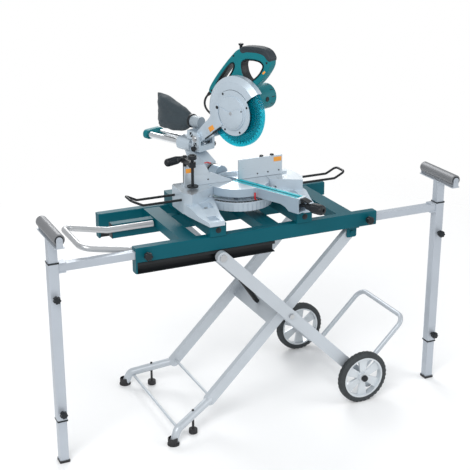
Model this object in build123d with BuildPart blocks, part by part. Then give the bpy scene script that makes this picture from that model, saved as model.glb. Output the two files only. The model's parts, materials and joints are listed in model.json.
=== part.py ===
"""Slide compound mitre saw bolted to a folding wheeled stand with two roller supports.

Millimetres. Z is up with the floor at z = 0, X runs along the saw fence, Y towards its back.
The stand is drawn open, the saw turned to the right with its head raised and slid back.
"""
import os
from math import atan2, cos, degrees, hypot, radians, sin, sqrt

from build123d import *

os.makedirs("parts", exist_ok=True)

# Clearances between pieces that fit.
slide_gap = 0.3
pin_gap = 0.05
running_gap = 1.0

# Stand top frame.
stand_y = -20
rail_length = 1050
rail_width = 40
rail_height = 60
rail_wall = 3
rail_y = 220
rail_bottom = 785
rail_top = rail_bottom + rail_height
bracket_length = 490
bracket_width = 70
bracket_height = 50
bracket_x = 190
stand_top = rail_top + bracket_height

# Scissor legs: the foot legs hinge on the rails, the wheel legs run in a track under them.
leg_angle = 45
leg_upper = 430
hinge_x = 430
pivot_z = rail_bottom - 27
leg_tube = 25
leg_wall = 2.5
foot_leg_width = 45
foot_leg_y = 197
foot_leg_lower = 480
wheel_leg_width = 50
wheel_leg_y = 253
wheel_radius = 115
wheel_width = 36
wheel_y = 289
axle_radius = 8
pivot_radius = 7
leg_cos = cos(radians(leg_angle))
leg_sin = sin(radians(leg_angle))
cross_x = hinge_x - leg_upper * leg_cos
cross_z = pivot_z - leg_upper * leg_sin
slider_x = cross_x - leg_upper * leg_cos
wheel_leg_lower = (cross_z - wheel_radius) / leg_sin
axle_x = cross_x + wheel_leg_lower * leg_cos
toe_offset = 65
toe_length = 320
toe_y = 183
toe_tube = 11

# Roller supports at the ends of the sliding arms.
arm_size = 30
arm_wall = 2
arm_z = rail_bottom + rail_height / 2
arm_inner_x = 160
post_x = 850
sleeve_size = 40
sleeve_bottom = 183
sleeve_top = rail_top - 5
sleeve_wall = 2.4
stem_size = sleeve_size - 2 * (sleeve_wall + slide_gap)
roller_radius = 22
roller_length = 230

# Saw base, measured from the table top at the turning axis.
base_height = 88
saw_y = -30
table_z = stand_top + base_height
mitre = 22.5
roller_z = table_z - roller_radius

STAND = Location((0, stand_y, 0))
SAW = Location((0, saw_y, table_z))
TURN = SAW * Location((0, 0, 0), (0, 0, mitre))
# Side view of the saw: first axis forwards along the cut, second axis up, normal to the left.
SIDE = Plane(origin=(0, 0, 0), x_dir=(0, -1, 0), z_dir=(-1, 0, 0))
# Side view of the stand at a distance y from its middle: first axis X, second axis Z.


def along_y(y):
    return Plane(origin=(0, y, 0), x_dir=(1, 0, 0), z_dir=(0, -1, 0))


def save(piece, label, place=STAND):
    placed = piece.part.moved(place)
    placed.label = label
    export_step(placed, f"parts/{label}.step")


# Front and rear rails: box sections with end plates; the front one guides both support arms.
for side, label in ((-1, "front_rail"), (1, "rear_rail")):
    with BuildPart() as rail:
        with BuildSketch(Plane.YZ.offset(-rail_length / 2)):
            with Locations((side * rail_y, rail_bottom + rail_height / 2)):
                RectangleRounded(rail_width, rail_height, 5)
                Rectangle(rail_width - 2 * rail_wall, rail_height - 2 * rail_wall, mode=Mode.SUBTRACT)
        extrude(amount=rail_length)
        for end in (-1, 1):
            drop = 45 if end < 0 else 0
            plate_height = rail_height + drop
            with BuildSketch(Plane.YZ.offset(end * rail_length / 2 - 6)):
                with Locations((side * rail_y, rail_top - plate_height / 2)):
                    RectangleRounded(rail_width, plate_height, 5)
                if side < 0:
                    with Locations((side * rail_y, arm_z)):
                        Rectangle(arm_size + 2 * slide_gap, arm_size + 2 * slide_gap, mode=Mode.SUBTRACT)
            extrude(amount=12 if end > 0 else 6)
        # Hinge clevis under the right end for the foot leg.
        with BuildSketch(along_y(side * (foot_leg_y + leg_tube / 2 + running_gap + 2)).offset(2)):
            with Locations((hinge_x, rail_bottom - 24.5)):
                RectangleRounded(46, 49, 8)
            with Locations((hinge_x, rail_bottom - 2)):
                Rectangle(46, 4)
        extrude(amount=-4)
        with BuildSketch(along_y(side * (foot_leg_y - leg_tube / 2 - running_gap - 2)).offset(2)):
            with Locations((hinge_x, rail_bottom - 24.5)):
                RectangleRounded(46, 49, 8)
        extrude(amount=-4)
        inner = foot_leg_y - leg_tube / 2 - running_gap - 4
        outer = rail_y + rail_width / 2 - 4
        with Locations((hinge_x, side * (inner + outer) / 2, rail_bottom - 2)):
            Box(46, outer - inner, 4)
        # The hinge pin is welded into its clevis.
        with BuildSketch(along_y(side * (inner - 5))):
            with Locations((hinge_x, pivot_z)):
                Circle(pivot_radius)
        extrude(amount=-side * (leg_tube + 2 * running_gap + 18))
    save(rail, label)

# Cross members and the inner rail, welded between the two rails.
cross_x_places = (-300, 60, 400)
inner_rail_y = 95
with BuildPart() as cross_frame:
    for x in cross_x_places:
        with BuildSketch(Plane.XZ.offset(-(rail_y - rail_width / 2))):
            with Locations((x, rail_top - 22)):
                Rectangle(70, 40)
            with Locations((x, rail_top - 25)):
                Rectangle(64, 40, mode=Mode.SUBTRACT)
        extrude(amount=2 * (rail_y - rail_width / 2))
    with BuildSketch(Plane.YZ.offset(-rail_length / 2 + 10)):
        with Locations((inner_rail_y, rail_top - 5 - 32)):
            Rectangle(36, 60)
            Rectangle(30, 54, mode=Mode.SUBTRACT)
    extrude(amount=400 + rail_length / 2 - 10)
save(cross_frame, "cross_frame")

# Slide tracks under the rails, open to the outside for the wheel-leg rollers.
track_start = -rail_length / 2 + 0
track_end = 60
track_in = 214
track_out = 239
track_roller = 15
with BuildPart() as slide_tracks:
    for side in (-1, 1):
        half = track_roller + slide_gap + 3
        with BuildSketch(Plane.YZ.offset(track_start)):
            with Locations((side * (track_in + track_out) / 2, (pivot_z - half + rail_bottom) / 2)):
                Rectangle(track_out - track_in, rail_bottom - pivot_z + half)
            with Locations((side * (track_in + 3 + track_out) / 2, pivot_z)):
                Rectangle(track_out - track_in - 3, 2 * (track_roller + slide_gap), mode=Mode.SUBTRACT)
        extrude(amount=track_end - track_start)
save(slide_tracks, "slide_tracks")

# Saw brackets: upturned channels lying across both rails, slotted for the saw bolts.
bolt_y_front = -115
bolt_y_rear = 74
with BuildPart() as saw_brackets:
    for x in (-bracket_x, bracket_x):
        with BuildSketch(Plane.XY.offset(rail_top)):
            with Locations((x, 0)):
                RectangleRounded(bracket_width, bracket_length, 5)
        extrude(amount=bracket_height)
        with Locations((x, 0, rail_top + (bracket_height - 4) / 2)):
            Box(bracket_width - 8, bracket_length - 8, bracket_height - 4, mode=Mode.SUBTRACT)
        with BuildSketch(Plane.XY.offset(stand_top)):
            for y in (bolt_y_front, bolt_y_rear):
                with Locations((x, y + saw_y - stand_y)):
                    SlotOverall(34, 9)
        extrude(amount=-6, mode=Mode.SUBTRACT)
        with BuildSketch(Plane.XZ.offset(bracket_length / 2)):
            with Locations((x, rail_top + bracket_height / 2)):
                Circle(9)
        extrude(amount=-6, mode=Mode.SUBTRACT)
save(saw_brackets, "saw_brackets")

# Transport handle: a bent tube between the front rail and the inner rail.
handle_tube = 12.5
handle_front_y = -rail_y + rail_width / 2 + handle_tube
handle_rear_y = inner_rail_y - 18 - handle_tube
handle_z = rail_top - 22
handle_end = -rail_length / 2 - 200
with BuildPart() as transport_handle:
    with BuildLine() as handle_path:
        FilletPolyline(
            (-345, handle_front_y, handle_z),
            (-540, handle_front_y, handle_z),
            (handle_end, handle_front_y, handle_z + 38),
            (handle_end, handle_rear_y, handle_z + 38),
            (-540, handle_rear_y, handle_z),
            (-345, handle_rear_y, handle_z),
            radius=40,
        )
    with BuildSketch(Plane(origin=(-345, handle_front_y, handle_z), z_dir=(-1, 0, 0))):
        Circle(handle_tube)
        Circle(handle_tube - 2.5, mode=Mode.SUBTRACT)
    sweep()
save(transport_handle, "transport_handle")


def leg_bar(side_y, start, length, angle, width, holes):
    """A closed rectangular leg tube with round ends, seen from the side, bored for its pins."""
    middle = (start[0] + length / 2 * cos(radians(angle)), start[1] + length / 2 * sin(radians(angle)))
    with BuildPart() as bar:
        with BuildSketch(along_y(side_y).offset(-leg_tube / 2)):
            with Locations(middle):
                SlotCenterToCenter(length, width, rotation=angle)
        extrude(amount=leg_tube)
        with BuildSketch(along_y(side_y).offset(-leg_tube / 2 + leg_wall)):
            with Locations(middle):
                Rectangle(length, width - 2 * leg_wall, rotation=angle)
            for place, radius in holes:
                with Locations(place):
                    Circle(radius + 5, mode=Mode.SUBTRACT)
        extrude(amount=leg_tube - 2 * leg_wall, mode=Mode.SUBTRACT)
        with BuildSketch(along_y(side_y).offset(-leg_tube / 2)):
            for place, radius in holes:
                with Locations(place):
                    Circle(radius)
        extrude(amount=leg_tube, mode=Mode.SUBTRACT)
    return bar.part


# Lifting strut between the two pairs of legs, from a lug on the foot legs to a bar of the wheel legs.
strut_low = 40
strut_high = 207
strut_bar_reach = 262
strut_bar = 9
strut_eye = 5.5
strut_x0 = cross_x - strut_low * leg_cos
strut_z0 = cross_z - strut_low * leg_sin
strut_x1 = cross_x - strut_high * leg_cos
strut_z1 = cross_z + strut_high * leg_sin
strut_bar_x = cross_x - strut_bar_reach * leg_cos
strut_bar_z = cross_z + strut_bar_reach * leg_sin
strut_length = hypot(strut_x1 - strut_x0, strut_z1 - strut_z0)
strut_angle = degrees(atan2(strut_z1 - strut_z0, strut_x1 - strut_x0))
strut_cos = cos(radians(strut_angle))
strut_sin = sin(radians(strut_angle))

# Wheel legs: two outer tubes, the toe tube between them and the bent toe loop.
wheel_leg_end = wheel_leg_lower + toe_offset
toe_x = axle_x + toe_offset * leg_cos
toe_z = wheel_radius - toe_offset * leg_sin
wheel_leg_holes = (
    ((slider_x, pivot_z), axle_radius),
    ((cross_x, cross_z), pivot_radius + pin_gap),
    ((axle_x, wheel_radius), axle_radius),
)
wheel_leg_length = leg_upper + wheel_leg_end
wheel_leg_bars = [
    leg_bar(y, (slider_x, pivot_z), wheel_leg_length, -leg_angle, wheel_leg_width, wheel_leg_holes)
    for y in (-wheel_leg_y, wheel_leg_y)
]
with BuildPart() as wheel_legs:
    add(wheel_leg_bars)
    with BuildSketch(along_y(-wheel_leg_y + leg_tube / 2)):
        with Locations((toe_x, toe_z)):
            Circle(14)
    extrude(amount=-2 * wheel_leg_y + leg_tube)
    # Bar and lug that the rod of the lifting strut pushes on.
    with BuildSketch(along_y(-wheel_leg_y + leg_tube / 2)):
        with Locations((strut_bar_x, strut_bar_z)):
            Circle(strut_bar)
    extrude(amount=-2 * wheel_leg_y + leg_tube)
    with BuildSketch(along_y(strut_eye + slide_gap)):
        with Locations(((strut_bar_x + strut_x1) / 2, (strut_bar_z + strut_z1) / 2)):
            SlotCenterToCenter(strut_bar_reach - strut_high, 20, rotation=-leg_angle)
    extrude(amount=-6)
    toe_end_x = toe_x + toe_length * leg_cos
    toe_end_z = toe_z + toe_length * leg_sin
    with BuildLine() as toe_path:
        FilletPolyline(
            (toe_x, -toe_y, toe_z),
            (toe_end_x, -toe_y, toe_end_z),
            (toe_end_x, toe_y, toe_end_z),
            (toe_x, toe_y, toe_z),
            radius=45,
        )
    with BuildSketch(Plane(origin=(toe_x, -toe_y, toe_z), z_dir=(leg_cos, 0, leg_sin))):
        Circle(toe_tube)
        Circle(toe_tube - 2, mode=Mode.SUBTRACT)
    sweep()
save(wheel_legs, "wheel_legs")

# Round bars of the wheel legs: the upper stubs with their track rollers, and the wheel axle.
with BuildPart() as leg_shafts:
    for side in (-1, 1):
        with BuildSketch(along_y(side * (track_in + 3 + slide_gap))):
            with Locations((slider_x, pivot_z)):
                Circle(axle_radius)
        extrude(amount=-side * (wheel_leg_y + leg_tube / 2 + 4 - track_in - 3 - slide_gap))
        with BuildSketch(along_y(side * (track_in + 3 + slide_gap))):
            with Locations((slider_x, pivot_z)):
                Circle(track_roller)
        extrude(amount=-side * (track_out - track_in - 4))
        with BuildSketch(along_y(side * (wheel_leg_y + leg_tube / 2))):
            with Locations((slider_x, pivot_z)):
                Circle(15)
        extrude(amount=-side * 4)
    with BuildSketch(along_y(-wheel_y - wheel_width / 2 - 9)):
        with Locations((axle_x, wheel_radius)):
            Circle(axle_radius)
    extrude(amount=-2 * (wheel_y + wheel_width / 2 + 9))
    for side in (-1, 1):
        with BuildSketch(along_y(side * (wheel_leg_y + leg_tube / 2))):
            with Locations((axle_x, wheel_radius)):
                Circle(14)
        extrude(amount=-side * (wheel_y - wheel_width / 2 - wheel_leg_y - leg_tube / 2 - slide_gap))
        with BuildSketch(along_y(side * (wheel_y + wheel_width / 2 + slide_gap))):
            with Locations((axle_x, wheel_radius)):
                Circle(14)
        extrude(amount=-side * 7)
save(leg_shafts, "leg_shafts")

# Foot legs: two inner tubes, a cross plate near the crossing and the bent splayed feet.
foot_x = cross_x - foot_leg_lower * leg_cos
foot_z = cross_z - foot_leg_lower * leg_sin
foot_tube = 17
foot_tip_x = foot_x - 198
foot_tip_y = 287
cap_height = 8
pad_x = foot_x - 92
pad_y = 237
screw_radius = 5
foot_hole_places = (
    ((hinge_x, pivot_z), pivot_radius + pin_gap),
    ((cross_x, cross_z), pivot_radius),
)
foot_leg_length = leg_upper + foot_leg_lower
foot_leg_bars = [
    leg_bar(y, (hinge_x, pivot_z), foot_leg_length, 180 + leg_angle, foot_leg_width, foot_hole_places)
    for y in (-foot_leg_y, foot_leg_y)
]
with BuildPart() as foot_legs:
    add(foot_leg_bars)
    with BuildSketch(along_y(-foot_leg_y + leg_tube / 2)):
        with Locations((strut_x0 + 16 * leg_sin, strut_z0 - 16 * leg_cos)):
            Rectangle(90, 8, rotation=leg_angle)
    extrude(amount=-2 * foot_leg_y + leg_tube)
    # Lug of the lifting strut, standing on the cross plate beside the strut eye.
    with BuildSketch(along_y(strut_eye + slide_gap)):
        with Locations((strut_x0 + 8 * leg_sin, strut_z0 - 8 * leg_cos)):
            SlotCenterToCenter(16, 20, rotation=-leg_angle)
    extrude(amount=-6)
    for place in ((foot_x + 6, foot_z + 6, foot_leg_y), (foot_tip_x + 30, 50, foot_tip_y - 14)):
        with BuildSketch(along_y(-place[2])):
            with Locations((place[0], place[1])):
                Circle(6)
        extrude(amount=-2 * place[2])
    for side in (-1, 1):
        with BuildLine() as foot_path:
            FilletPolyline(
                (foot_x, side * foot_leg_y, foot_z),
                (foot_tip_x + 20, side * (foot_tip_y - 10), 58),
                (foot_tip_x, side * foot_tip_y, 8),
                radius=30,
            )
        with BuildSketch(Plane(origin=foot_path.line @ 0, z_dir=foot_path.line % 0)):
            Circle(foot_tube)
            Circle(foot_tube - leg_wall, mode=Mode.SUBTRACT)
        sweep()
    # The feet end flat on their rubber caps; the levelling screws pass through them.
    with BuildSketch(Plane.XY):
        with Locations((foot_tip_x, 0)):
            Rectangle(120, 2 * foot_tip_y + 120)
    extrude(amount=cap_height, mode=Mode.SUBTRACT)
    with BuildSketch(Plane.XY):
        for side in (-1, 1):
            with Locations((pad_x, side * pad_y)):
                Circle(screw_radius)
    extrude(amount=150, mode=Mode.SUBTRACT)
save(foot_legs, "foot_legs")

# Rubber caps on the feet and the levelling pads beside them.
with BuildPart() as rubber_feet:
    for side in (-1, 1):
        with BuildSketch(Plane.XY):
            with Locations((foot_tip_x - 2, side * (foot_tip_y + 1))):
                Circle(25)
        extrude(amount=cap_height)
        with BuildSketch(Plane.XY.offset(1)):
            with Locations((pad_x, side * pad_y)):
                Circle(18)
        extrude(amount=20)
        with BuildSketch(Plane.XY.offset(21)):
            with Locations((pad_x, side * pad_y)):
                Circle(screw_radius)
        extrude(amount=88)
save(rubber_feet, "rubber_feet")

# Bolts of the stand hinge and of the crossing, with the spacer between the legs.
with BuildPart() as pivot_bolts:
    for side in (-1, 1):
        spacer_start = foot_leg_y + leg_tube / 2
        spacer_end = wheel_leg_y - leg_tube / 2 - slide_gap
        with BuildSketch(along_y(side * (foot_leg_y - leg_tube / 2 - 6))):
            with Locations((cross_x, cross_z)):
                Circle(pivot_radius)
        extrude(amount=-side * (wheel_leg_y - foot_leg_y + leg_tube + 16))
        with BuildSketch(along_y(side * spacer_start)):
            with Locations((cross_x, cross_z)):
                Circle(13)
        extrude(amount=-side * (spacer_end - spacer_start))
        with BuildSketch(along_y(side * (wheel_leg_y + leg_tube / 2 + slide_gap))):
            with Locations((cross_x, cross_z)):
                RegularPolygon(12, 6)
        extrude(amount=-side * 9)
        with BuildSketch(along_y(side * (foot_leg_y - leg_tube / 2 - 8))):
            with Locations((cross_x, cross_z)):
                RegularPolygon(12, 6)
        extrude(amount=-side * 8)
save(pivot_bolts, "pivot_bolts")

# Wheels: a ribbed tyre on a spoked rim that turns on the axle.
rim_radius = 92
hub_radius = 22
for side, name in ((-1, "front"), (1, "rear")):
    face = along_y(side * wheel_y).offset(-wheel_width / 2)
    with BuildPart() as tyre:
        with BuildSketch(Plane(origin=(axle_x, side * wheel_y, wheel_radius), x_dir=(1, 0, 0), z_dir=(0, 0, 1))):
            with Locations(((wheel_radius + rim_radius) / 2, 0)):
                RectangleRounded(wheel_radius - rim_radius, wheel_width, 8)
        revolve(axis=Axis((axle_x, 0, wheel_radius), (0, 1, 0)))
    save(tyre, f"tyre_{name}")
    with BuildPart() as rim:
        with BuildSketch(face.offset(3)):
            with Locations((axle_x, wheel_radius)):
                Circle(rim_radius)
                Circle(rim_radius - 7, mode=Mode.SUBTRACT)
        extrude(amount=wheel_width - 6)
        with BuildSketch(face.offset(wheel_width / 2 - 5)):
            with Locations((axle_x, wheel_radius)):
                Circle(rim_radius - 5)
            with Locations((axle_x, wheel_radius)):
                with PolarLocations(0, 6):
                    with Locations((hub_radius + 4, 0)):
                        Triangle(a=66, B=68, C=68, rotation=90, align=(Align.CENTER, Align.MAX), mode=Mode.SUBTRACT)
        extrude(amount=10)
        with BuildSketch(face):
            with Locations((axle_x, wheel_radius)):
                Circle(hub_radius)
        extrude(amount=wheel_width)
        with BuildSketch(face):
            with Locations((axle_x, wheel_radius)):
                Circle(axle_radius + pin_gap)
        extrude(amount=wheel_width, mode=Mode.SUBTRACT)
    save(rim, f"rim_{name}")

# Roller supports: sliding arm with its upright sleeve, roller stem, floor leg and roller.
stem_bottom = 560
leg_top = 430
for side, name in ((-1, "left"), (1, "right")):
    post_place = (side * post_x, -rail_y)
    with BuildPart() as support_arm:
        arm_end = post_x - sleeve_size / 2
        with BuildSketch(Plane.YZ.offset(side * arm_inner_x)):
            with Locations((-rail_y, arm_z)):
                Rectangle(arm_size, arm_size)
                Rectangle(arm_size - 2 * arm_wall, arm_size - 2 * arm_wall, mode=Mode.SUBTRACT)
        extrude(amount=side * (arm_end - arm_inner_x))
        with BuildSketch(Plane.YZ.offset(side * arm_inner_x)):
            with Locations((-rail_y, arm_z)):
                shoe_width = rail_width - 2 * (rail_wall + slide_gap)
                shoe_height = rail_height - 2 * (rail_wall + slide_gap)
                Rectangle(shoe_width, shoe_height)
                Rectangle(arm_size, arm_size, mode=Mode.SUBTRACT)
        extrude(amount=side * 60)
        with BuildSketch(Plane.XY.offset(sleeve_bottom)):
            with Locations(post_place):
                RectangleRounded(sleeve_size, sleeve_size, 4)
                Rectangle(sleeve_size - 2 * sleeve_wall, sleeve_size - 2 * sleeve_wall, mode=Mode.SUBTRACT)
        extrude(amount=sleeve_top - sleeve_bottom)
        with BuildSketch(along_y(-rail_y).offset(-arm_size / 2 - 3)):
            with Locations((side * (arm_end - 14), arm_z)):
                Rectangle(28, arm_size + 10)
            with Locations((side * (arm_end - 14), arm_z)):
                Rectangle(28, arm_size, mode=Mode.SUBTRACT)
        extrude(amount=arm_size + 6)
    save(support_arm, f"support_arm_{name}")
    with BuildPart() as stem:
        plate_z = roller_z - roller_radius - 6
        with BuildSketch(Plane.XY.offset(stem_bottom)):
            with Locations(post_place):
                Rectangle(stem_size, stem_size)
                Rectangle(stem_size - 4, stem_size - 4, mode=Mode.SUBTRACT)
        extrude(amount=plate_z - 4 - stem_bottom)
        cheek = roller_length / 2 + running_gap
        with BuildSketch(Plane.XY.offset(plate_z - 4)):
            with Locations(post_place):
                Rectangle(stem_size + 1, 2 * cheek + 8)
        extrude(amount=4)
        for end in (-1, 1):
            with BuildSketch(along_y(-rail_y + end * (cheek + 2)).offset(-2)):
                with Locations((side * post_x, (plate_z - 4 + roller_z) / 2)):
                    Rectangle(24, roller_z - plate_z + 4)
                with Locations((side * post_x, roller_z)):
                    Circle(12)
            extrude(amount=4)
        with BuildSketch(along_y(-rail_y - cheek - 7)):
            with Locations((side * post_x, roller_z)):
                Circle(5)
        extrude(amount=-2 * (cheek + 7))
    save(stem, f"roller_stem_{name}")
    with BuildPart() as roller:
        with BuildSketch(along_y(-rail_y - roller_length / 2)):
            with Locations((side * post_x, roller_z)):
                Circle(roller_radius)
                Circle(5 + pin_gap, mode=Mode.SUBTRACT)
        extrude(amount=-roller_length)
    save(roller, f"roller_{name}")
    with BuildPart() as support_leg:
        with BuildSketch(Plane.XY.offset(10)):
            with Locations(post_place):
                Rectangle(stem_size, stem_size)
                Rectangle(stem_size - 4, stem_size - 4, mode=Mode.SUBTRACT)
        extrude(amount=leg_top - 10)
        with BuildSketch(Plane.XY.offset(0.5)):
            with Locations(post_place):
                RectangleRounded(sleeve_size, sleeve_size, 4)
        extrude(amount=12)
    save(support_leg, f"support_leg_{name}")

# The strut itself: its tube turns on the foot legs, its rod on the wheel legs.
strut_tube_length = 135
strut_rod_start = 62
STRUT = Plane(
    origin=(strut_x0, 0, strut_z0),
    x_dir=(0, 1, 0),
    z_dir=(strut_x1 - strut_x0, 0, strut_z1 - strut_z0),
)
with BuildPart() as strut_tube:
    with BuildSketch(STRUT.offset(16)):
        Circle(11)
        Circle(5 + pin_gap * 2, mode=Mode.SUBTRACT)
    extrude(amount=strut_tube_length - 16)
    with BuildSketch(STRUT.offset(12)):
        Circle(11)
    extrude(amount=4)
    with BuildSketch(along_y(strut_eye)):
        with Locations((strut_x0, strut_z0)):
            Circle(9)
        with Locations((strut_x0 + 8 * strut_cos, strut_z0 + 8 * strut_sin)):
            Rectangle(16, 18, rotation=strut_angle)
    extrude(amount=2 * strut_eye)
save(strut_tube, "strut_tube")
with BuildPart() as strut_rod:
    with BuildSketch(STRUT.offset(strut_rod_start)):
        Circle(5)
    extrude(amount=strut_length - 10 - strut_rod_start)
    with BuildSketch(along_y(strut_eye)):
        with Locations((strut_x1, strut_z1)):
            Circle(9)
        with Locations((strut_x1 - 6 * strut_cos, strut_z1 - 6 * strut_sin)):
            Rectangle(12, 18, rotation=strut_angle)
    extrude(amount=2 * strut_eye)
save(strut_rod, "strut_rod")

# Release bar of the fold, hanging from the strut bar of the wheel legs.
with BuildPart() as release_bar:
    for y in (-130, 130):
        with BuildSketch(along_y(y).offset(-3)):
            with Locations((strut_bar_x - 23, strut_bar_z + 17)):
                SlotCenterToCenter(hypot(46, 34), 30, rotation=degrees(atan2(34, -46)))
            with Locations((strut_bar_x, strut_bar_z)):
                Circle(strut_bar + pin_gap, mode=Mode.SUBTRACT)
        extrude(amount=6)
    with BuildSketch(along_y(-165)):
        with Locations((strut_bar_x - 46, strut_bar_z + 34)):
            Circle(9)
    extrude(amount=-330)
save(release_bar, "release_bar")

# Saw base: two wing castings on long front feet, joined by a slotted ring around a hub.
turn_radius = 130
turn_gap = 2
ring_radius = 144
ring_wall = 8
ring_top = -50
hub_top = -64
wing_half = 268
wing_rear = 62
edge_offset = 29
rod_z = -34
rod_radius = 5
rod_y_rear = 24
rod_y_front = -50
vise_x = -212
vise_y = 45
vise_rod = 8


def wing_edge_y(x):
    """Front edge of a wing: parallel to the turned arm at its widest mitre, clear of its side."""
    return (edge_offset - 0.5 * x) / cos(radians(30))


feet = []
for side in (-1, 1):
    with BuildPart() as foot:
        with BuildSketch(Plane.YZ.offset(side * 100)):
            with BuildLine():
                Polyline(
                    (0, -base_height),
                    (0, -44),
                    (-110, -46),
                    (-180, -67),
                    (-252, -72),
                    (-258, -78),
                    (-258, -base_height),
                    close=True,
                )
            make_face()
        extrude(amount=side * 180)
        with BuildSketch(Plane.XY.offset(-base_height)):
            with BuildLine():
                Polyline(
                    (side * 132, -30),
                    (side * 266, -40),
                    (side * 262, -110),
                    (side * 236, -258),
                    (side * 172, -258),
                    (side * 146, -110),
                    close=True,
                )
            make_face()
        extrude(amount=base_height, mode=Mode.INTERSECT)
        # Bolt pocket, the window near the tip and the bolt hole.
        with Locations((side * bracket_x, bolt_y_front + 2, -52)):
            Box(50, 46, 20, mode=Mode.SUBTRACT)
        with Locations((side * 203, -214, -70)):
            Box(38, 48, 18, mode=Mode.SUBTRACT)
        with Locations((side * bracket_x, bolt_y_front, -base_height + 20)):
            Cylinder(4.5, 60, mode=Mode.SUBTRACT)
    feet.append(foot.part)

with BuildPart() as saw_base:
    add(feet)
    for side in (-1, 1):
        with BuildSketch(Plane.XY.offset(-base_height)):
            with BuildLine():
                Polyline(
                    (side * 100, wing_rear - 42),
                    (side * 142, wing_rear),
                    (side * (wing_half - 12), wing_rear),
                    (side * wing_half, wing_rear - 14),
                    (side * wing_half, -64),
                    (side * 246, wing_edge_y(246)),
                    (side * 100, wing_edge_y(100)),
                    close=True,
                )
            make_face()
            Circle(turn_radius + turn_gap, mode=Mode.SUBTRACT)
        extrude(amount=base_height)
        with BuildSketch(Plane.XY.offset(-base_height)):
            with BuildLine():
                Polyline(
                    (side * 104, wing_rear - 48),
                    (side * 145, wing_rear - 7),
                    (side * (wing_half - 14), wing_rear - 7),
                    (side * (wing_half - 7), wing_rear - 18),
                    (side * (wing_half - 7), -62),
                    (side * 240, wing_edge_y(240) + 9),
                    (side * 104, wing_edge_y(104) + 9),
                    close=True,
                )
            make_face()
            Circle(turn_radius + turn_gap + 8, mode=Mode.SUBTRACT)
            if side < 0:
                with Locations((vise_x, vise_y - 6)):
                    Rectangle(34, 34, mode=Mode.SUBTRACT)
        extrude(amount=base_height - 8, mode=Mode.SUBTRACT)
        with Locations((side * bracket_x, bolt_y_rear, -base_height + 7)):
            Box(52, 44, 14)
        with Locations((side * bracket_x, bolt_y_rear, -base_height + 20)):
            Cylinder(4.5, 60, mode=Mode.SUBTRACT)
    with BuildSketch(Plane.XY.offset(-base_height)):
        Circle(ring_radius)
        Circle(ring_radius - ring_wall, mode=Mode.SUBTRACT)
        with PolarLocations(ring_radius, 16, start_angle=207, angular_range=126):
            Rectangle(5, 4, mode=Mode.SUBTRACT)
    extrude(amount=base_height + ring_top - 8)
    with BuildSketch(Plane.XY.offset(ring_top - 8)):
        Circle(ring_radius + 2)
        Circle(ring_radius - 30, mode=Mode.SUBTRACT)
    extrude(amount=8)
    with BuildSketch(Plane.XY.offset(hub_top - 20)):
        Circle(46)
        for angle in (0, 60, 120):
            Rectangle(2 * ring_radius - 8, 16, rotation=angle)
        Circle(12 + pin_gap, mode=Mode.SUBTRACT)
    extrude(amount=20)
    for side in (-1, 1):
        with BuildSketch(Plane.YZ.offset(side * (wing_half + 32))):
            for y in (rod_y_rear, rod_y_front):
                with Locations((y, rod_z)):
                    Circle(rod_radius + pin_gap)
        extrude(amount=side * (turn_radius - wing_half - 32), mode=Mode.SUBTRACT)
    with Locations((vise_x, vise_y, -30)):
        Cylinder(vise_rod + pin_gap, 62, mode=Mode.SUBTRACT)
save(saw_base, "saw_base", SAW)

# Fence: low fixed plates on both wings with a bridge behind the cut.
fence_low = 46
fence_high = 84
fence_thick = 9
plate_thick = 6.3
with BuildPart() as fence:
    with BuildSketch(Plane.XZ):
        with BuildLine():
            Polyline((-232, 0.6), (-20, 0.6), (-26, 6), (-112, fence_low), (-232, fence_low), close=True)
        make_face()
    extrude(amount=-fence_thick)
    with BuildSketch(Plane.XZ.offset(-plate_thick - slide_gap)):
        with BuildLine():
            Polyline((32, 0.6), (206, 0.6), (206, fence_low), (60, fence_low), (32, 22), close=True)
        make_face()
    extrude(amount=-fence_thick)
    for side in (-1, 1):
        with Locations((side * 186, 21, 4)):
            Box(92, 26, 8)
    with BuildSketch(Plane.XY.offset(0.8)):
        Circle(86)
        Circle(72, mode=Mode.SUBTRACT)
        with Locations((0, plate_thick + slide_gap - 100)):
            Rectangle(300, 200, mode=Mode.SUBTRACT)
    extrude(amount=15)
save(fence, "fence", SAW)

with BuildPart() as sub_fence_left:
    with BuildSketch(Plane.XZ):
        with BuildLine():
            Polyline(
                (-232, fence_low + slide_gap),
                (-124, fence_low + slide_gap),
                (-136, fence_high - 12),
                (-146, fence_high),
                (-232, fence_high),
                close=True,
            )
        make_face()
    extrude(amount=-fence_thick)
    with Locations((-186, fence_thick + slide_gap + 3, 45)):
        Box(44, 6, 50)
    with Locations((-186, fence_thick / 2 + 4, 73)):
        Box(44, fence_thick + 3, 12)
save(sub_fence_left, "sub_fence_left", SAW)

with BuildPart() as sub_fence_right:
    with BuildSketch(Plane.XZ):
        with BuildLine():
            Polyline((6, 0.9), (206, 0.9), (206, fence_high), (6, fence_high), close=True)
        make_face()
    extrude(amount=-plate_thick)
    with Locations((140, plate_thick + 7, 62)):
        Box(90, 14, 10)
    with Locations((140, plate_thick + fence_thick + 2 * slide_gap + 3, 52)):
        Box(90, 5, 30)
save(sub_fence_right, "sub_fence_right", SAW)

# Work-support bars: bent steel rods that slide in the ends of the base.
bar_reach = 210
for side, name in ((-1, "left"), (1, "right")):
    with BuildPart() as side_bar:
        with BuildLine() as bar_path:
            FilletPolyline(
                (side * 152, rod_y_rear, rod_z),
                (side * (wing_half + bar_reach - 48), rod_y_rear, rod_z),
                (side * (wing_half + bar_reach), rod_y_rear, rod_z + 24),
                (side * (wing_half + bar_reach), rod_y_front, rod_z + 24),
                (side * (wing_half + bar_reach - 48), rod_y_front, rod_z),
                (side * 152, rod_y_front, rod_z),
                radius=16,
            )
        with BuildSketch(Plane(origin=bar_path.line @ 0, z_dir=bar_path.line % 0)):
            Circle(rod_radius)
        sweep()
    save(side_bar, f"side_bar_{name}", SAW)

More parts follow.
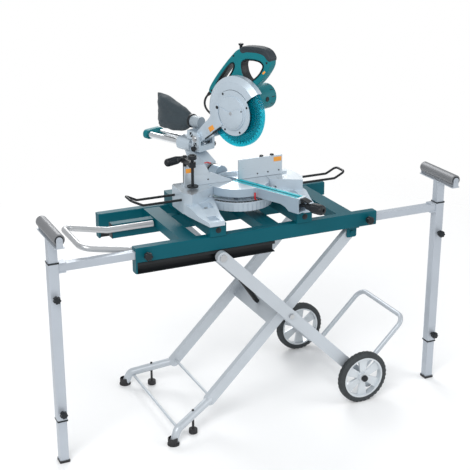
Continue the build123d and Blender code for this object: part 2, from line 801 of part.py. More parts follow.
# Vise: a rod in the left wing with its arm, and the clamp screw with knob and plate.
vise_front = -34
vise_arm_z = 90
with BuildPart() as vise_arm:
    with Locations((vise_x, vise_y, (-58 + 118) / 2)):
        Cylinder(vise_rod, 58 + 118)
    with BuildSketch(Plane.XY.offset(vise_arm_z)):
        with Locations((vise_x, vise_y)):
            Circle(16)
        with Locations((vise_x, vise_front)):
            Circle(14)
        with Locations((vise_x, (vise_y + vise_front) / 2)):
            Rectangle(20, vise_y - vise_front)
        with Locations((vise_x, vise_front)):
            Circle(6 + pin_gap, mode=Mode.SUBTRACT)
    extrude(amount=22)
save(vise_arm, "vise_arm", SAW)
with BuildPart() as vise_screw:
    with Locations((vise_x, vise_front, 68)):
        Cylinder(6, 108)
    with Locations((vise_x, vise_front, 131)):
        Cylinder(17, 18)
    with Locations((vise_x, vise_front, 11)):
        Cylinder(23, 6)
    knob_edges = vise_screw.edges().filter_by(GeomType.CIRCLE).filter_by(lambda e: abs(e.radius - 17) < 0.1)
    fillet(knob_edges, 4)
save(vise_screw, "vise_screw", SAW)

# Turn base: round table with the kerf arm, its pivot and the rear boss of the bevel axis.
table_thick = 34
arm_half = 25
arm_depth = 40
arm_end = 345
block_start = 278
block_depth = 62
kerf_half = 6.2
board_half = 21
board_thick = 3.5
groove_half = 15
boss_radius = 42
boss_rear = -150
grip_z = -30
grip_stem = 7
with BuildPart() as turn_base:
    with BuildSketch(Plane.XY.offset(-table_thick)):
        Circle(turn_radius)
    extrude(amount=table_thick)
    with BuildSketch(SIDE.offset(-arm_half)):
        with BuildLine():
            Polyline(
                (60, 0),
                (arm_end, 0),
                (arm_end, -block_depth),
                (block_start + 18, -block_depth),
                (block_start, -arm_depth - 8),
                (block_start - 24, -arm_depth),
                (110, -arm_depth),
                (60, -table_thick),
                close=True,
            )
        make_face()
    extrude(amount=2 * arm_half)
    with BuildSketch(SIDE.offset(-arm_half + 5)):
        with BuildLine():
            Polyline(
                (arm_end - 60, -22),
                (arm_end, -22),
                (arm_end, -block_depth + 5),
                (arm_end - 42, -block_depth + 5),
                (arm_end - 60, -arm_depth),
                close=True,
            )
        make_face()
    extrude(amount=2 * arm_half - 10, mode=Mode.SUBTRACT)
    with BuildSketch(Plane.XZ.offset(boss_rear)):
        Circle(boss_radius)
    extrude(amount=60)
    with Locations((0, 0, (hub_top - table_thick) / 2)):
        Cylinder(30, -table_thick - hub_top)
    with Locations((0, 0, hub_top)):
        Cylinder(12, 40)
    with BuildSketch(Plane.XY):
        with Locations((0, -160)):
            Rectangle(2 * board_half + 0.6, 344)
    extrude(amount=-board_thick, mode=Mode.SUBTRACT)
    with BuildSketch(Plane.XY):
        with Locations((0, -132)):
            SlotOverall(384, 2 * groove_half, rotation=90)
    extrude(amount=-20, mode=Mode.SUBTRACT)
    with BuildSketch(Plane.XZ.offset(arm_end - 77)):
        with Locations((0, grip_z)):
            Circle(grip_stem + pin_gap)
    extrude(amount=30, mode=Mode.SUBTRACT)
save(turn_base, "turn_base", TURN)

with BuildPart() as kerf_boards:
    for side in (-1, 1):
        with Locations((side * (kerf_half + board_half) / 2, -160, -board_thick / 2)):
            Box(board_half - kerf_half, 343, board_thick)
save(kerf_boards, "kerf_boards", TURN)

# Mitre grip with its threaded stem, and the latch lever above it.
with BuildPart() as mitre_grip:
    with BuildSketch(SIDE):
        with BuildLine():
            Polyline(
                (arm_end - 75, grip_z),
                (arm_end - 75, grip_z + grip_stem),
                (arm_end + 20, grip_z + grip_stem),
                (arm_end + 22, grip_z + 12),
                (arm_end + 40, grip_z + 14),
                (arm_end + 58, grip_z + 21),
                (arm_end + 96, grip_z + 21),
                (arm_end + 105, grip_z + 15),
                (arm_end + 105, grip_z),
                close=True,
            )
        make_face()
    revolve(axis=Axis((0, 0, grip_z), (0, -1, 0)))
save(mitre_grip, "mitre_grip", TURN)
with BuildPart() as mitre_latch:
    with BuildSketch(SIDE.offset(-14)):
        with BuildLine():
            Polyline(
                (arm_end + 0.3, -1),
                (arm_end + 14, -2),
                (arm_end + 38, -9),
                (arm_end + 37, -13),
                (arm_end + 14, -10),
                (arm_end + 8, -20),
                (arm_end + 0.3, -20),
                close=True,
            )
        make_face()
    extrude(amount=28)
save(mitre_latch, "mitre_latch", TURN)

# Bevel arm: hub behind the turn base, leaning column and the holder of the slide pipes.
pipe_radius = 13
pipe_x = 30
pipe_z = 112
hub_gap = 0.5
hub_end = -186
holder_front = -226
holder_rear = -300
holder_half = 52
holder_low = 84
holder_high = 140
lever_s = -262
lever_z = 30
lever_pin = 6
with BuildPart() as bevel_arm:
    with BuildSketch(Plane.XZ.offset(hub_end)):
        Circle(boss_radius)
    extrude(amount=boss_rear - hub_gap - hub_end)
    with BuildSketch(SIDE.offset(-32)):
        with BuildLine():
            Polyline(
                (boss_rear - hub_gap - 1, 10),
                (boss_rear - hub_gap - 1, 44),
                (-196, 74),
                (holder_front, holder_low + 6),
                (-272, holder_low + 6),
                (-244, 30),
                (-200, -16),
                (hub_end, -16),
                (hub_end, 10),
                close=True,
            )
        make_face()
    extrude(amount=64)
    with BuildSketch(Plane.XZ.offset(holder_rear)):
        with Locations((0, (holder_low + holder_high) / 2)):
            RectangleRounded(2 * holder_half, holder_high - holder_low, 24)
    extrude(amount=holder_front - holder_rear)
    with BuildSketch(Plane.XZ.offset(holder_rear)):
        for x in (-pipe_x, pipe_x):
            with Locations((x, pipe_z)):
                Circle(pipe_radius + pin_gap)
    extrude(amount=holder_front - holder_rear, mode=Mode.SUBTRACT)
    # Stud that the bevel clamp lever turns on.
    with BuildSketch(Plane.XZ.offset(lever_s - 12)):
        with Locations((0, lever_z)):
            Circle(lever_pin)
    extrude(amount=32)
save(bevel_arm, "bevel_arm", TURN)

# Bevel clamp lever with its thick grip, pointing to the left behind the column.
with BuildPart() as bevel_lever:
    with BuildSketch(Plane.XZ.offset(lever_s - 9)):
        with Locations((0, lever_z)):
            Circle(16)
    extrude(amount=17)
    with BuildSketch(Plane.XZ.offset(lever_s - 6)):
        with BuildLine():
            Polyline(
                (0, lever_z - 9),
                (0, lever_z + 9),
                (-52, lever_z + 30),
                (-52, lever_z + 14),
                close=True,
            )
        make_face()
    extrude(amount=12)
    with BuildSketch(Plane(origin=(0, -lever_s, lever_z + 22), x_dir=(-1, 0, 0), z_dir=(0, -1, 0))):
        with BuildLine():
            Polyline(
                (48, 0),
                (48, 10),
                (66, 12),
                (90, 17),
                (140, 17),
                (150, 11),
                (150, 0),
                close=True,
            )
        make_face()
    revolve(axis=Axis((0, -lever_s, lever_z + 22), (1, 0, 0)))
    with BuildSketch(Plane.XZ.offset(lever_s - 12)):
        with Locations((0, lever_z)):
            Circle(lever_pin + pin_gap)
    extrude(amount=32, mode=Mode.SUBTRACT)
save(bevel_lever, "bevel_lever", TURN)

# Carriage: block on the front ends of the pipes, ears for the chop pivot and the nozzle bridge.
chop_s = -195
chop_z = 148
chop_pin = 8
ear_in = 34
ear_out = 48
block_front = -172
block_rear = -211
block_low = 93
pipe_front = -188
pipe_rear = -500
cap_front = -483
cap_rear = -508
lug_radius = 21
with BuildPart() as carriage:
    with BuildSketch(Plane.XZ.offset(block_rear)):
        with Locations((0, (block_low + 118) / 2)):
            RectangleRounded(2 * ear_out, 118 - block_low, 8)
    extrude(amount=block_front - block_rear)
    for side in (-1, 1):
        with BuildSketch(SIDE.offset(-ear_out if side > 0 else ear_in)):
            with BuildLine():
                Polyline(
                    (block_front, block_low + 8),
                    (block_front, chop_z + 12),
                    (chop_s + 12, chop_z + 26),
                    (-238, chop_z + 30),
                    (-238, holder_high + 3),
                    (block_rear, holder_high + 3),
                    (block_rear, block_low + 8),
                    close=True,
                )
            make_face()
            with Locations((chop_s, chop_z)):
                Circle(chop_pin, mode=Mode.SUBTRACT)
        extrude(amount=ear_out - ear_in)
    with BuildSketch(SIDE.offset(-ear_out)):
        with Locations(((-238 + -226) / 2, (holder_high + 3 + chop_z + 30) / 2)):
            Rectangle(12, chop_z + 30 - holder_high - 3)
    extrude(amount=2 * ear_out)
    with BuildSketch(Plane.XZ.offset(block_rear)):
        for x in (-pipe_x, pipe_x):
            with Locations((x, pipe_z)):
                Circle(pipe_radius)
    extrude(amount=pipe_front - block_rear, mode=Mode.SUBTRACT)
    with BuildSketch(SIDE.offset(-ear_in)):
        with Locations((chop_s, chop_z)):
            Circle(lug_radius + 1.5)
    extrude(amount=2 * ear_in, mode=Mode.SUBTRACT)
save(carriage, "carriage", TURN)

# Slide pipes with the chop pivot pin, all fixed in the carriage.
with BuildPart() as slide_pipes:
    with BuildSketch(Plane.XZ.offset(pipe_rear)):
        for x in (-pipe_x, pipe_x):
            with Locations((x, pipe_z)):
                Circle(pipe_radius)
                Circle(pipe_radius - 3, mode=Mode.SUBTRACT)
    extrude(amount=pipe_front - pipe_rear)
    with BuildSketch(SIDE.offset(-ear_out - 5)):
        with Locations((chop_s, chop_z)):
            Circle(chop_pin)
    extrude(amount=2 * ear_out + 10)
save(slide_pipes, "slide_pipes", TURN)

with BuildPart() as pipe_end_cap:
    with BuildSketch(Plane.XZ.offset(cap_rear)):
        with Locations((0, pipe_z)):
            RectangleRounded(2 * pipe_x + 40, 40, 18)
    extrude(amount=cap_front - cap_rear)
    with BuildSketch(Plane.XZ.offset(pipe_rear)):
        for x in (-pipe_x, pipe_x):
            with Locations((x, pipe_z)):
                Circle(pipe_radius)
    extrude(amount=cap_front - pipe_rear, mode=Mode.SUBTRACT)
    fillet(pipe_end_cap.faces().sort_by(Axis.Y)[-1].edges(), 5)
save(pipe_end_cap, "pipe_end_cap", TURN)

# Dust nozzle on the carriage bridge and the cloth bag behind it.
nozzle_z = 206
nozzle_radius = 24
with BuildPart() as dust_nozzle:
    with BuildSketch(Plane.XZ.offset(-262)):
        with Locations((0, nozzle_z)):
            Circle(nozzle_radius)
            Circle(nozzle_radius - 3, mode=Mode.SUBTRACT)
    extrude(amount=60)
    with BuildSketch(Plane.XZ.offset(-205)):
        with Locations((0, nozzle_z)):
            Circle(nozzle_radius)
    extrude(amount=3)
    with Locations((0, 232, (chop_z + 30 + nozzle_z - nozzle_radius + 2) / 2)):
        Box(30, 12, nozzle_z - nozzle_radius + 2 - chop_z - 30)
save(dust_nozzle, "dust_nozzle", TURN)

bag_half = 34
with BuildPart() as dust_bag:
    with BuildSketch(SIDE.offset(-bag_half)):
        with BuildLine():
            Polyline(
                (-250, nozzle_z + 27),
                (-290, nozzle_z + 46),
                (-400, nozzle_z + 84),
                (-450, nozzle_z + 96),
                (-462, nozzle_z + 84),
                (-466, nozzle_z + 10),
                (-452, nozzle_z - 62),
                (-320, nozzle_z - 60),
                (-280, nozzle_z - 46),
                (-250, nozzle_z - 28),
                close=True,
            )
        make_face()
    extrude(amount=2 * bag_half)
    with BuildSketch(Plane.XZ.offset(-263)):
        with Locations((0, nozzle_z)):
            Circle(nozzle_radius)
    extrude(amount=20, mode=Mode.SUBTRACT)
save(dust_bag, "dust_bag", TURN)

# Saw head in its raised position: blade axis, gear case and motor axis in the side view.
blade_s = 0
blade_z = 285
blade_radius = 130
case_radius = 146
case_left = -26
case_right = 16
case_wall = 2.5
guard_radius = 140
gear_out = 48
motor_s = -23
motor_z = 315.3
motor_radius = 52
motor_end = 212
spindle_radius = 12.5
chop_reach = hypot(blade_s - chop_s, blade_z - chop_z)
chop_slope = degrees(atan2(blade_z - chop_z, blade_s - chop_s))
arm_mid = (
    (blade_s + chop_s) / 2,
    (blade_z + chop_z) / 2,
)
handle_low = 374
with BuildPart() as gear_case:
    with BuildSketch(SIDE.offset(-gear_out)):
        with Locations((blade_s, blade_z)):
            Circle(33)
        with Locations((motor_s, motor_z)):
            Circle(46)
        with Locations(arm_mid):
            Rectangle(chop_reach - 90, 50, rotation=chop_slope)
        with Locations((-12, (blade_z + handle_low) / 2)):
            Rectangle(96, handle_low - blade_z)
        with Locations((chop_s, chop_z)):
            Circle(lug_radius + 10, mode=Mode.SUBTRACT)
    extrude(amount=gear_out - case_right)
    with BuildSketch(SIDE.offset(-ear_in + running_gap)):
        with Locations((chop_s, chop_z)):
            Circle(lug_radius)
        with Locations((chop_s, chop_z)):
            Polygon(
                (0, -lug_radius),
                (45, -lug_radius - 1),
                (125, -42),
                (125, 42),
                (45, lug_radius + 8),
                (0, lug_radius),
                align=None,
                rotation=chop_slope,
            )
        with Locations((blade_s, blade_z)):
            Circle(case_radius + 0.5, mode=Mode.SUBTRACT)
        with Locations((chop_s, chop_z)):
            Circle(chop_pin + pin_gap, mode=Mode.SUBTRACT)
    extrude(amount=2 * (ear_in - running_gap))
    # Gear chamber, bearing bores of the spindle and of the motor shaft.
    with BuildSketch(SIDE.offset(-44)):
        with Locations((blade_s, blade_z)):
            Circle(30)
        with Locations((motor_s, motor_z)):
            Circle(20)
    extrude(amount=20, mode=Mode.SUBTRACT)
    with BuildSketch(SIDE.offset(-gear_out)):
        with Locations((blade_s, blade_z)):
            Circle(spindle_radius + pin_gap)
        with Locations((motor_s, motor_z)):
            Circle(6 + pin_gap)
    extrude(amount=gear_out - case_right, mode=Mode.SUBTRACT)
save(gear_case, "gear_case", TURN)


def radial(angle):
    """Half plane through the blade axis: first axis outwards at the angle, second axis to the right."""
    out_y = -cos(radians(angle))
    out_z = sin(radians(angle))
    return Plane(origin=(0, -blade_s, blade_z), x_dir=(0, out_y, out_z), z_dir=(0, out_z, -out_y))


blade_axis = Axis((0, -blade_s, blade_z), (-1, 0, 0))
cover_radius = 78
with BuildPart() as blade_case:
    with BuildSketch(radial(38)):
        with BuildLine():
            Polyline(
                (60, case_left),
                (126, case_left),
                (case_radius, -9),
                (case_radius, case_right),
                (60, case_right),
                (60, case_right - case_wall),
                (case_radius - case_wall, case_right - case_wall),
                (case_radius - case_wall, -8),
                (125, case_left + case_wall),
                (60, case_left + case_wall),
                close=True,
            )
        make_face()
    revolve(axis=blade_axis, revolution_arc=178)
    with BuildSketch(SIDE.offset(-case_left - case_wall)):
        with Locations((blade_s, blade_z)):
            Circle(cover_radius)
    extrude(amount=case_wall)
    with BuildSketch(SIDE.offset(-case_left)):
        with Locations((blade_s, blade_z)):
            Circle(92)
        with Locations((blade_s - 92, blade_z - 30)):
            Rectangle(60, 40, mode=Mode.SUBTRACT)
    extrude(amount=3)
    with BuildSketch(SIDE.offset(-case_left + 3)):
        with Locations((blade_s, blade_z)):
            Circle(70)
    extrude(amount=7, taper=20)
save(blade_case, "blade_case", TURN)

with BuildPart() as lower_guard:
    with BuildSketch(radial(-152)):
        with BuildLine():
            Polyline(
                (30, -12),
                (guard_radius - 2, -12),
                (guard_radius, -10),
                (guard_radius, 10),
                (guard_radius - 2, 12),
                (62, 12),
                (62, 10.5),
                (guard_radius - 1.8, 10.5),
                (guard_radius - 1.8, -10.5),
                (30, -10.5),
                close=True,
            )
        make_face()
    revolve(axis=blade_axis, revolution_arc=204)
    with BuildSketch(SIDE.offset(10.5)):
        with Locations((blade_s, blade_z)):
            Circle(48)
            Circle(30, mode=Mode.SUBTRACT)
    extrude(amount=1.5)
save(lower_guard, "lower_guard", TURN)

# Blade with carbide teeth, clamped between two flanges on the geared spindle.
tooth_count = 48
with BuildPart() as saw_blade:
    with BuildSketch(SIDE.offset(-1)):
        with Locations((blade_s, blade_z)):
            Circle(blade_radius - 8)
            Circle(spindle_radius, mode=Mode.SUBTRACT)
            with PolarLocations(blade_radius - 6, tooth_count):
                Polygon((-4, -2.5), (6, -1.5), (6, 1.5), (-4, 7), align=None)
    extrude(amount=2)
save(saw_blade, "saw_blade", TURN)

with BuildPart() as spindle:
    for start, end, radius in (
        (-9, 60 - 14, spindle_radius),
        (-6, -1, 24),
        (1, 6, 24),
        (28, 40, 28.6),
    ):
        with BuildSketch(SIDE.offset(-end)):
            with Locations((blade_s, blade_z)):
                Circle(radius)
        extrude(amount=end - start)
    with BuildSketch(SIDE.offset(9)):
        with Locations((blade_s, blade_z)):
            RegularPolygon(10, 6)
    extrude(amount=8)
save(spindle, "spindle", TURN)

# Motor housing on the right of the gear case, with the armature inside.
with BuildPart() as motor_housing:
    with BuildSketch(SIDE.offset(-motor_end)):
        with Locations((motor_s, motor_z)):
            Circle(motor_radius)
    extrude(amount=motor_end - gear_out)
    with BuildSketch(SIDE.offset(-motor_end + 6)):
        with Locations((motor_s, motor_z)):
            Circle(motor_radius - 5)
    extrude(amount=motor_end - 6 - gear_out, mode=Mode.SUBTRACT)
    with BuildSketch(SIDE.offset(-motor_end)):
        with Locations((motor_s, motor_z)):
            Circle(6 + pin_gap)
            with PolarLocations(32, 8):
                Rectangle(20, 5)
    extrude(amount=8, mode=Mode.SUBTRACT)
    rims = motor_housing.edges().filter_by(GeomType.CIRCLE).filter_by(lambda e: abs(e.radius - motor_radius) < 0.1)
    fillet(rims.sort_by(Axis.X)[-1], 8)
save(motor_housing, "motor_housing", TURN)

with BuildPart() as armature:
    for start, end, radius in ((30, 210, 6), (28, 40, 9.1), (62, 76, 42), (92, 172, 34), (184, 202, 15)):
        with BuildSketch(SIDE.offset(-end)):
            with Locations((motor_s, motor_z)):
                Circle(radius)
        extrude(amount=end - start)
save(armature, "armature", TURN)

# Handle: carrying loop at the back, D-shaped switch handle at the front, rubber grip on top.
handle_in = case_right + 1
handle_out = 57
handle_corner = 9
handle_rim = 7
loop_corner = 5
grip_rim = 6
grip_outline = (
    (-4, 540),
    (38, 550),
    (122, 549),
    (150, 530),
    (158, 508),
    (144, 502),
    (120, 526),
    (40, 527),
    (2, 518),
)
with BuildPart() as handle:
    with BuildSketch(SIDE.offset(-handle_out)) as handle_outline:
        with BuildLine():
            Polyline(
                (-182, 346),
                (-168, 330),
                (-146, 328),
                (-104, 356),
                (-60, handle_low),
                (40, handle_low),
                (70, 384),
                (84, 404),
                (150, 474),
                (158, 508),
                (150, 530),
                (122, 549),
                (38, 550),
                (-4, 540),
                (-24, 530),
                close=True,
            )
        make_face()
        fillet(handle_outline.vertices(), handle_corner)
    extrude(amount=handle_out - handle_in)
    fillet(handle.faces().filter_by(Axis.X).edges(), handle_rim)
    with BuildSketch(SIDE.offset(-handle_out)) as handle_loops:
        with BuildLine():
            Polyline((-134, 366), (-112, 358), (-44, 436), (-30, 470), (-46, 478), (-134, 378), close=True)
        make_face()
        with BuildLine():
            Polyline((4, 488), (70, 502), (116, 494), (122, 476), (58, 410), (38, 408), (8, 442), close=True)
        make_face()
        fillet(handle_loops.vertices(), loop_corner)
    extrude(amount=handle_out - handle_in, mode=Mode.SUBTRACT)
    # Seats of the rubber grip and of the motor housing.
    with BuildSketch(SIDE.offset(-handle_out)):
        with BuildLine():
            Polyline(*grip_outline, close=True)
        make_face()
        with Locations((motor_s, motor_z)):
            Circle(motor_radius)
    extrude(amount=handle_out - handle_in, mode=Mode.SUBTRACT)
    with BuildSketch(SIDE.offset(-47)):
        with Locations((40, 505)):
            Rectangle(66, 44)
    extrude(amount=20, mode=Mode.SUBTRACT)
    with Locations((37, 14, 534)):
        Cylinder(6 + pin_gap, 30, mode=Mode.SUBTRACT)
save(handle, "handle", TURN)

with BuildPart() as handle_grip:
    with BuildSketch(SIDE.offset(-handle_out - 2)):
        with BuildLine():
            Polyline(*grip_outline, close=True)
        make_face()
    extrude(amount=handle_out - handle_in + 4)
    fillet(handle_grip.faces().filter_by(Axis.X).edges(), grip_rim)
save(handle_grip, "handle_grip", TURN)

with BuildPart() as trigger:
    with BuildSketch(SIDE.offset(-46)):
        with BuildLine():
            Polyline((16, 509), (68, 518), (70, 510), (52, 496), (22, 488), close=True)
        make_face()
    extrude(amount=18)
save(trigger, "trigger", TURN)

with BuildPart() as lock_button:
    with Locations((37, 14, 534)):
        Cylinder(6, 24)
    with Locations((37, 14, 550)):
        Cylinder(10, 8)
save(lock_button, "lock_button", TURN)

# Mains lead: strain relief, free stretch, coil of two layers round the motor housing and the plug.
cord_radius = 4.5
relief_w = 37
relief_angle = radians(221.2)
relief_dir = (cos(relief_angle), sin(relief_angle))
relief_start = (-175.2, 337.8)
relief_length = 28
RELIEF = Plane(
    origin=(relief_w, -relief_start[0], relief_start[1]),
    x_dir=(1, 0, 0),
    z_dir=(0, -relief_dir[0], relief_dir[1]),
)
with BuildPart() as cord_relief:
    with BuildSketch(RELIEF):
        Circle(9)
    extrude(amount=relief_length, taper=5)
save(cord_relief, "cord_relief", TURN)

coil_radius = motor_radius + 0.3 + cord_radius
coil_outer = coil_radius + 2 * cord_radius
coil_start = handle_out + 1
coil_turns = 3
coil_pitch = 9.6
coil_end = coil_start + coil_turns * coil_pitch
lead_s = motor_s - coil_radius
lead_w = coil_end + cord_radius + 0.5
lead_s0 = relief_start[0] + relief_dir[0] * relief_length
lead_z0 = relief_start[1] + relief_dir[1] * relief_length
lead_points = (
    (relief_w, -lead_s0, lead_z0),
    (relief_w, -(lead_s0 + 24 * relief_dir[0]), lead_z0 + 24 * relief_dir[1]),
    (relief_w, 196, 242),
    (lead_w, -lead_s, 232),
    (lead_w, -lead_s, motor_z),
)
with BuildPart() as cord_lead:
    with BuildLine() as lead_path:
        FilletPolyline(*lead_points, radius=(20, 30, 40))
    with BuildSketch(Plane(origin=lead_path.line @ 0, z_dir=lead_path.line % 0)):
        Circle(cord_radius)
    sweep()
lead_length = sum(edge.length for edge in lead_path.edges())
print("lead", lead_length, cord_lead.part.volume / (3.14159265 * cord_radius**2))
print("coil", coil_turns * 2 * 3.14159265 * (coil_radius + coil_outer))
save(cord_lead, "cord_lead", TURN)

with BuildPart() as cord_coil:
    with BuildSketch(SIDE.offset(-coil_end)):
        with Locations((motor_s, motor_z)):
            Circle(coil_outer + cord_radius)
            Circle(coil_radius - cord_radius, mode=Mode.SUBTRACT)
    extrude(amount=coil_end - coil_start)
save(cord_coil, "cord_coil", TURN)

plug_width = 29
plug_depth = 22
plug_height = 40
prong_length = 19
plug_w = coil_end - cord_radius
plug_y = -motor_s + coil_outer + cord_radius + 0.3 + plug_depth / 2
plug_z = motor_z + plug_height / 2
with BuildPart() as plug:
    with Locations((plug_w, plug_y, plug_z)):
        Box(plug_width, plug_depth, plug_height)
    with BuildSketch(Plane.XY.offset(plug_z + plug_height / 2)):
        with Locations((plug_w - 9, plug_y), (plug_w + 9, plug_y)):
            Circle(2.4)
    extrude(amount=prong_length)
save(plug, "plug", TURN)
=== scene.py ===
# %% [markdown]
# # A sliding mitre saw on its folding stand
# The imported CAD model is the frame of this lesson. Every solid already sits where it belongs, in metres, so
# the work here is to soften edges, add the small fittings and give each surface its finish.

# %% Load the frame
import json
import math

import bmesh
import bpy
from mathutils import Matrix, Vector, noise


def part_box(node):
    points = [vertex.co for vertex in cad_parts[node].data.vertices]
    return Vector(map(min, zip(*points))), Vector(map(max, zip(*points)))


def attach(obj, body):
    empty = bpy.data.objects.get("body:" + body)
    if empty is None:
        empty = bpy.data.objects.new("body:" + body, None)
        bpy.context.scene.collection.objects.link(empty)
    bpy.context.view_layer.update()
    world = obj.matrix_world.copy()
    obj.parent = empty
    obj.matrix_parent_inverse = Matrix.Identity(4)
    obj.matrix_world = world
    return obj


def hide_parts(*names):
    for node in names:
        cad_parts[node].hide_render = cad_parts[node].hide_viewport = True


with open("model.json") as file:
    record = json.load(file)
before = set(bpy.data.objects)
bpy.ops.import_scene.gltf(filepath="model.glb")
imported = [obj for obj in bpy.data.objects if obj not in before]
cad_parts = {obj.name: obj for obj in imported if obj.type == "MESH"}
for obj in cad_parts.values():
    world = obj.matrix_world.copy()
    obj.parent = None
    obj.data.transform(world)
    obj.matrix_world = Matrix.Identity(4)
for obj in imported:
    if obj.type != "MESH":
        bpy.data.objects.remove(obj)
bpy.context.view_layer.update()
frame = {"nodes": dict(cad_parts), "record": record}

# %% [markdown]
# Three places are measured from: the middle of the stand, the saw's table and the turned table. Empties
# could hold them, but a finished piece keeps its object at the origin, so three small functions do it
# instead. Each takes millimetres and returns a point of the frame in metres. For the turned saw the first
# number goes to the right, the second forwards along the cut, the third up.

# %% Places
MITRE = math.radians(22.5)
TABLE = Vector((0, -0.030, 0.983))
TURNED = Matrix.Translation(TABLE) @ Matrix.Rotation(MITRE, 4, "Z")


def stand(x, y, z):
    return Vector((x / 1000, (y - 20) / 1000, z / 1000))


def base(x, y, z):
    return TABLE + Vector((x, y, z)) / 1000


def saw(right, forward, up):
    return TURNED @ (Vector((right, -forward, up)) / 1000)


SAW_RIGHT = TURNED.to_3x3() @ Vector((1, 0, 0))
SAW_FORWARD = TURNED.to_3x3() @ Vector((0, -1, 0))
UP = Vector((0, 0, 1))
RIGHT = Vector((1, 0, 0))
FRONT = Vector((0, -1, 0))
print("table at", tuple(TABLE), "cut runs along", tuple(SAW_FORWARD))

# %% [markdown]
# The camera comes first, because the picture decides what needs care. It stands at the left front, a little
# above the table, as in the photograph, far enough away for a calm perspective.

# %% Camera
VIEW_TURN = math.radians(-25)
VIEW_HEIGHT = math.radians(20)
VIEW_DISTANCE = 4.62
camera = bpy.data.objects.new("camera", bpy.data.cameras.new("camera"))
bpy.context.scene.collection.objects.link(camera)
camera.data.lens = 85
camera.data.clip_end = 100
towards_camera = Vector((
    math.sin(VIEW_TURN) * math.cos(VIEW_HEIGHT),
    -math.cos(VIEW_TURN) * math.cos(VIEW_HEIGHT),
    math.sin(VIEW_HEIGHT),
))
aim = Vector((-0.01, -0.03, 0.745))
camera.location = aim + towards_camera * VIEW_DISTANCE
camera.rotation_mode = "QUATERNION"
camera.rotation_quaternion = (-towards_camera).to_track_quat("-Z", "Y")
bpy.context.scene.camera = camera
print("camera at", tuple(camera.location))

# %% [markdown]
# Shader maths reads better as Python than as a drawing of nodes. `Wire` wraps one socket and turns + - *
# into Math nodes, and `Finish` is one material with a method that adds any other node.

# %% Finishes, the tools
class Wire:
    """One socket of a node tree that can be used in sums."""

    def __init__(self, tree, socket):
        self.tree = tree
        self.socket = socket

    def math(self, operation, first, second=None):
        node = self.tree.nodes.new("ShaderNodeMath")
        node.operation = operation
        for slot, value in zip(node.inputs, (first, second)):
            if isinstance(value, Wire):
                self.tree.links.new(value.socket, slot)
            elif value is not None:
                slot.default_value = value
        return Wire(self.tree, node.outputs[0])

    def __add__(self, other):
        return self.math("ADD", self, other)

    def __sub__(self, other):
        return self.math("SUBTRACT", self, other)

    def __rsub__(self, other):
        return self.math("SUBTRACT", other, self)

    def __mul__(self, other):
        return self.math("MULTIPLY", self, other)

    __radd__ = __add__
    __rmul__ = __mul__

    def clamp(self):
        node = self.math("ADD", self, 0.0)
        node.socket.node.use_clamp = True
        return node


class Finish:
    """A material: a Principled shader and the wires that vary it."""

    def __init__(self, name, colour, rough, metal=0.0, **plain):
        self.material = bpy.data.materials.new(name)
        self.material.use_nodes = True
        self.tree = self.material.node_tree
        self.shader = self.tree.nodes["Principled BSDF"]
        self.colour = (*colour, 1.0)
        self.shader.inputs["Base Color"].default_value = self.colour
        self.shader.inputs["Roughness"].default_value = rough
        self.shader.inputs["Metallic"].default_value = metal
        for socket, value in plain.items():
            self.shader.inputs[socket.replace("_", " ")].default_value = value
        self.material.diffuse_color = self.colour

    def node(self, kind, settings=None, out=0, **values):
        """Add a node; a socket is given by its name, or by its number after an underscore."""
        node = self.tree.nodes.new("ShaderNode" + kind)
        for key, value in (settings or {}).items():
            setattr(node, key, value)
        for key, value in values.items():
            slot = node.inputs[int(key[1:])] if key[1:].isdigit() else node.inputs[key.replace("_", " ")]
            if isinstance(value, Wire):
                self.tree.links.new(value.socket, slot)
            else:
                slot.default_value = value
        return Wire(self.tree, node.outputs[out])

    def place(self, scale=(1, 1, 1), shift=(0, 0, 0)):
        spot = self.node("TexCoord", out=3)
        return self.node("Mapping", Vector=spot, Scale=scale, Location=shift)

    def cloud(self, scale, detail=4.0, where=None):
        return self.node("TexNoise", Vector=where or self.place(), Scale=scale, Detail=detail)

    def mix(self, amount, first, second):
        return self.node("Mix", {"data_type": "RGBA"}, out=2, _0=amount, _6=first, _7=second)

    def wire(self, socket, value):
        self.tree.links.new(value.socket, self.shader.inputs[socket])
        return self

    def tint(self, amount, darker=0.8, lighter=1.1):
        """Colour varies between a darker and a lighter shade of itself."""
        low = tuple(channel * darker for channel in self.colour[:3]) + (1,)
        high = tuple(min(1, channel * lighter) for channel in self.colour[:3]) + (1,)
        return self.wire("Base Color", self.mix(amount.clamp(), low, high))

    def film(self, colour, share):
        """Mix the shader, by a share, over a clear film of a colour."""
        clear = self.node("BsdfTransparent", Color=(*colour, 1))
        both = self.node("MixShader", _0=share, _1=clear, _2=Wire(self.tree, self.shader.outputs[0]))
        self.tree.links.new(both.socket, self.tree.nodes["Material Output"].inputs["Surface"])

    def bump(self, height, strength=0.3, depth=0.001):
        return self.wire("Normal", self.node("Bump", Strength=strength, Distance=depth, Height=height))


print("shader tools ready")

# %% [markdown]
# The castings of the saw are aluminium with a pale silver paint: fine sandy grain, and slight patches in
# the sheen. A photo texture would need unwrapping, while noise on Object coordinates fits every casting as
# it is. The table top and the fence are milled bright, which shows as rings round the turning axis or long
# scratches.

# %% Finishes of the castings
def cast(name, colour, patch_scale, darker, lighter, rough):
    finish = Finish(name, colour, rough + 0.08, 0.35)
    patches = finish.cloud(patch_scale)
    finish.tint(patches * 1.6 - 0.3, darker, lighter)
    finish.wire("Roughness", patches * 0.16 + rough)
    return finish.bump(finish.cloud(1400, 2.0), 0.18, 0.0004)


casting = cast("casting_silver", (0.52, 0.60, 0.67), 14, 0.93, 1.05, 0.30)
casting_blue = cast("casting_blue", (0.36, 0.45, 0.53), 11, 0.92, 1.06, 0.28)

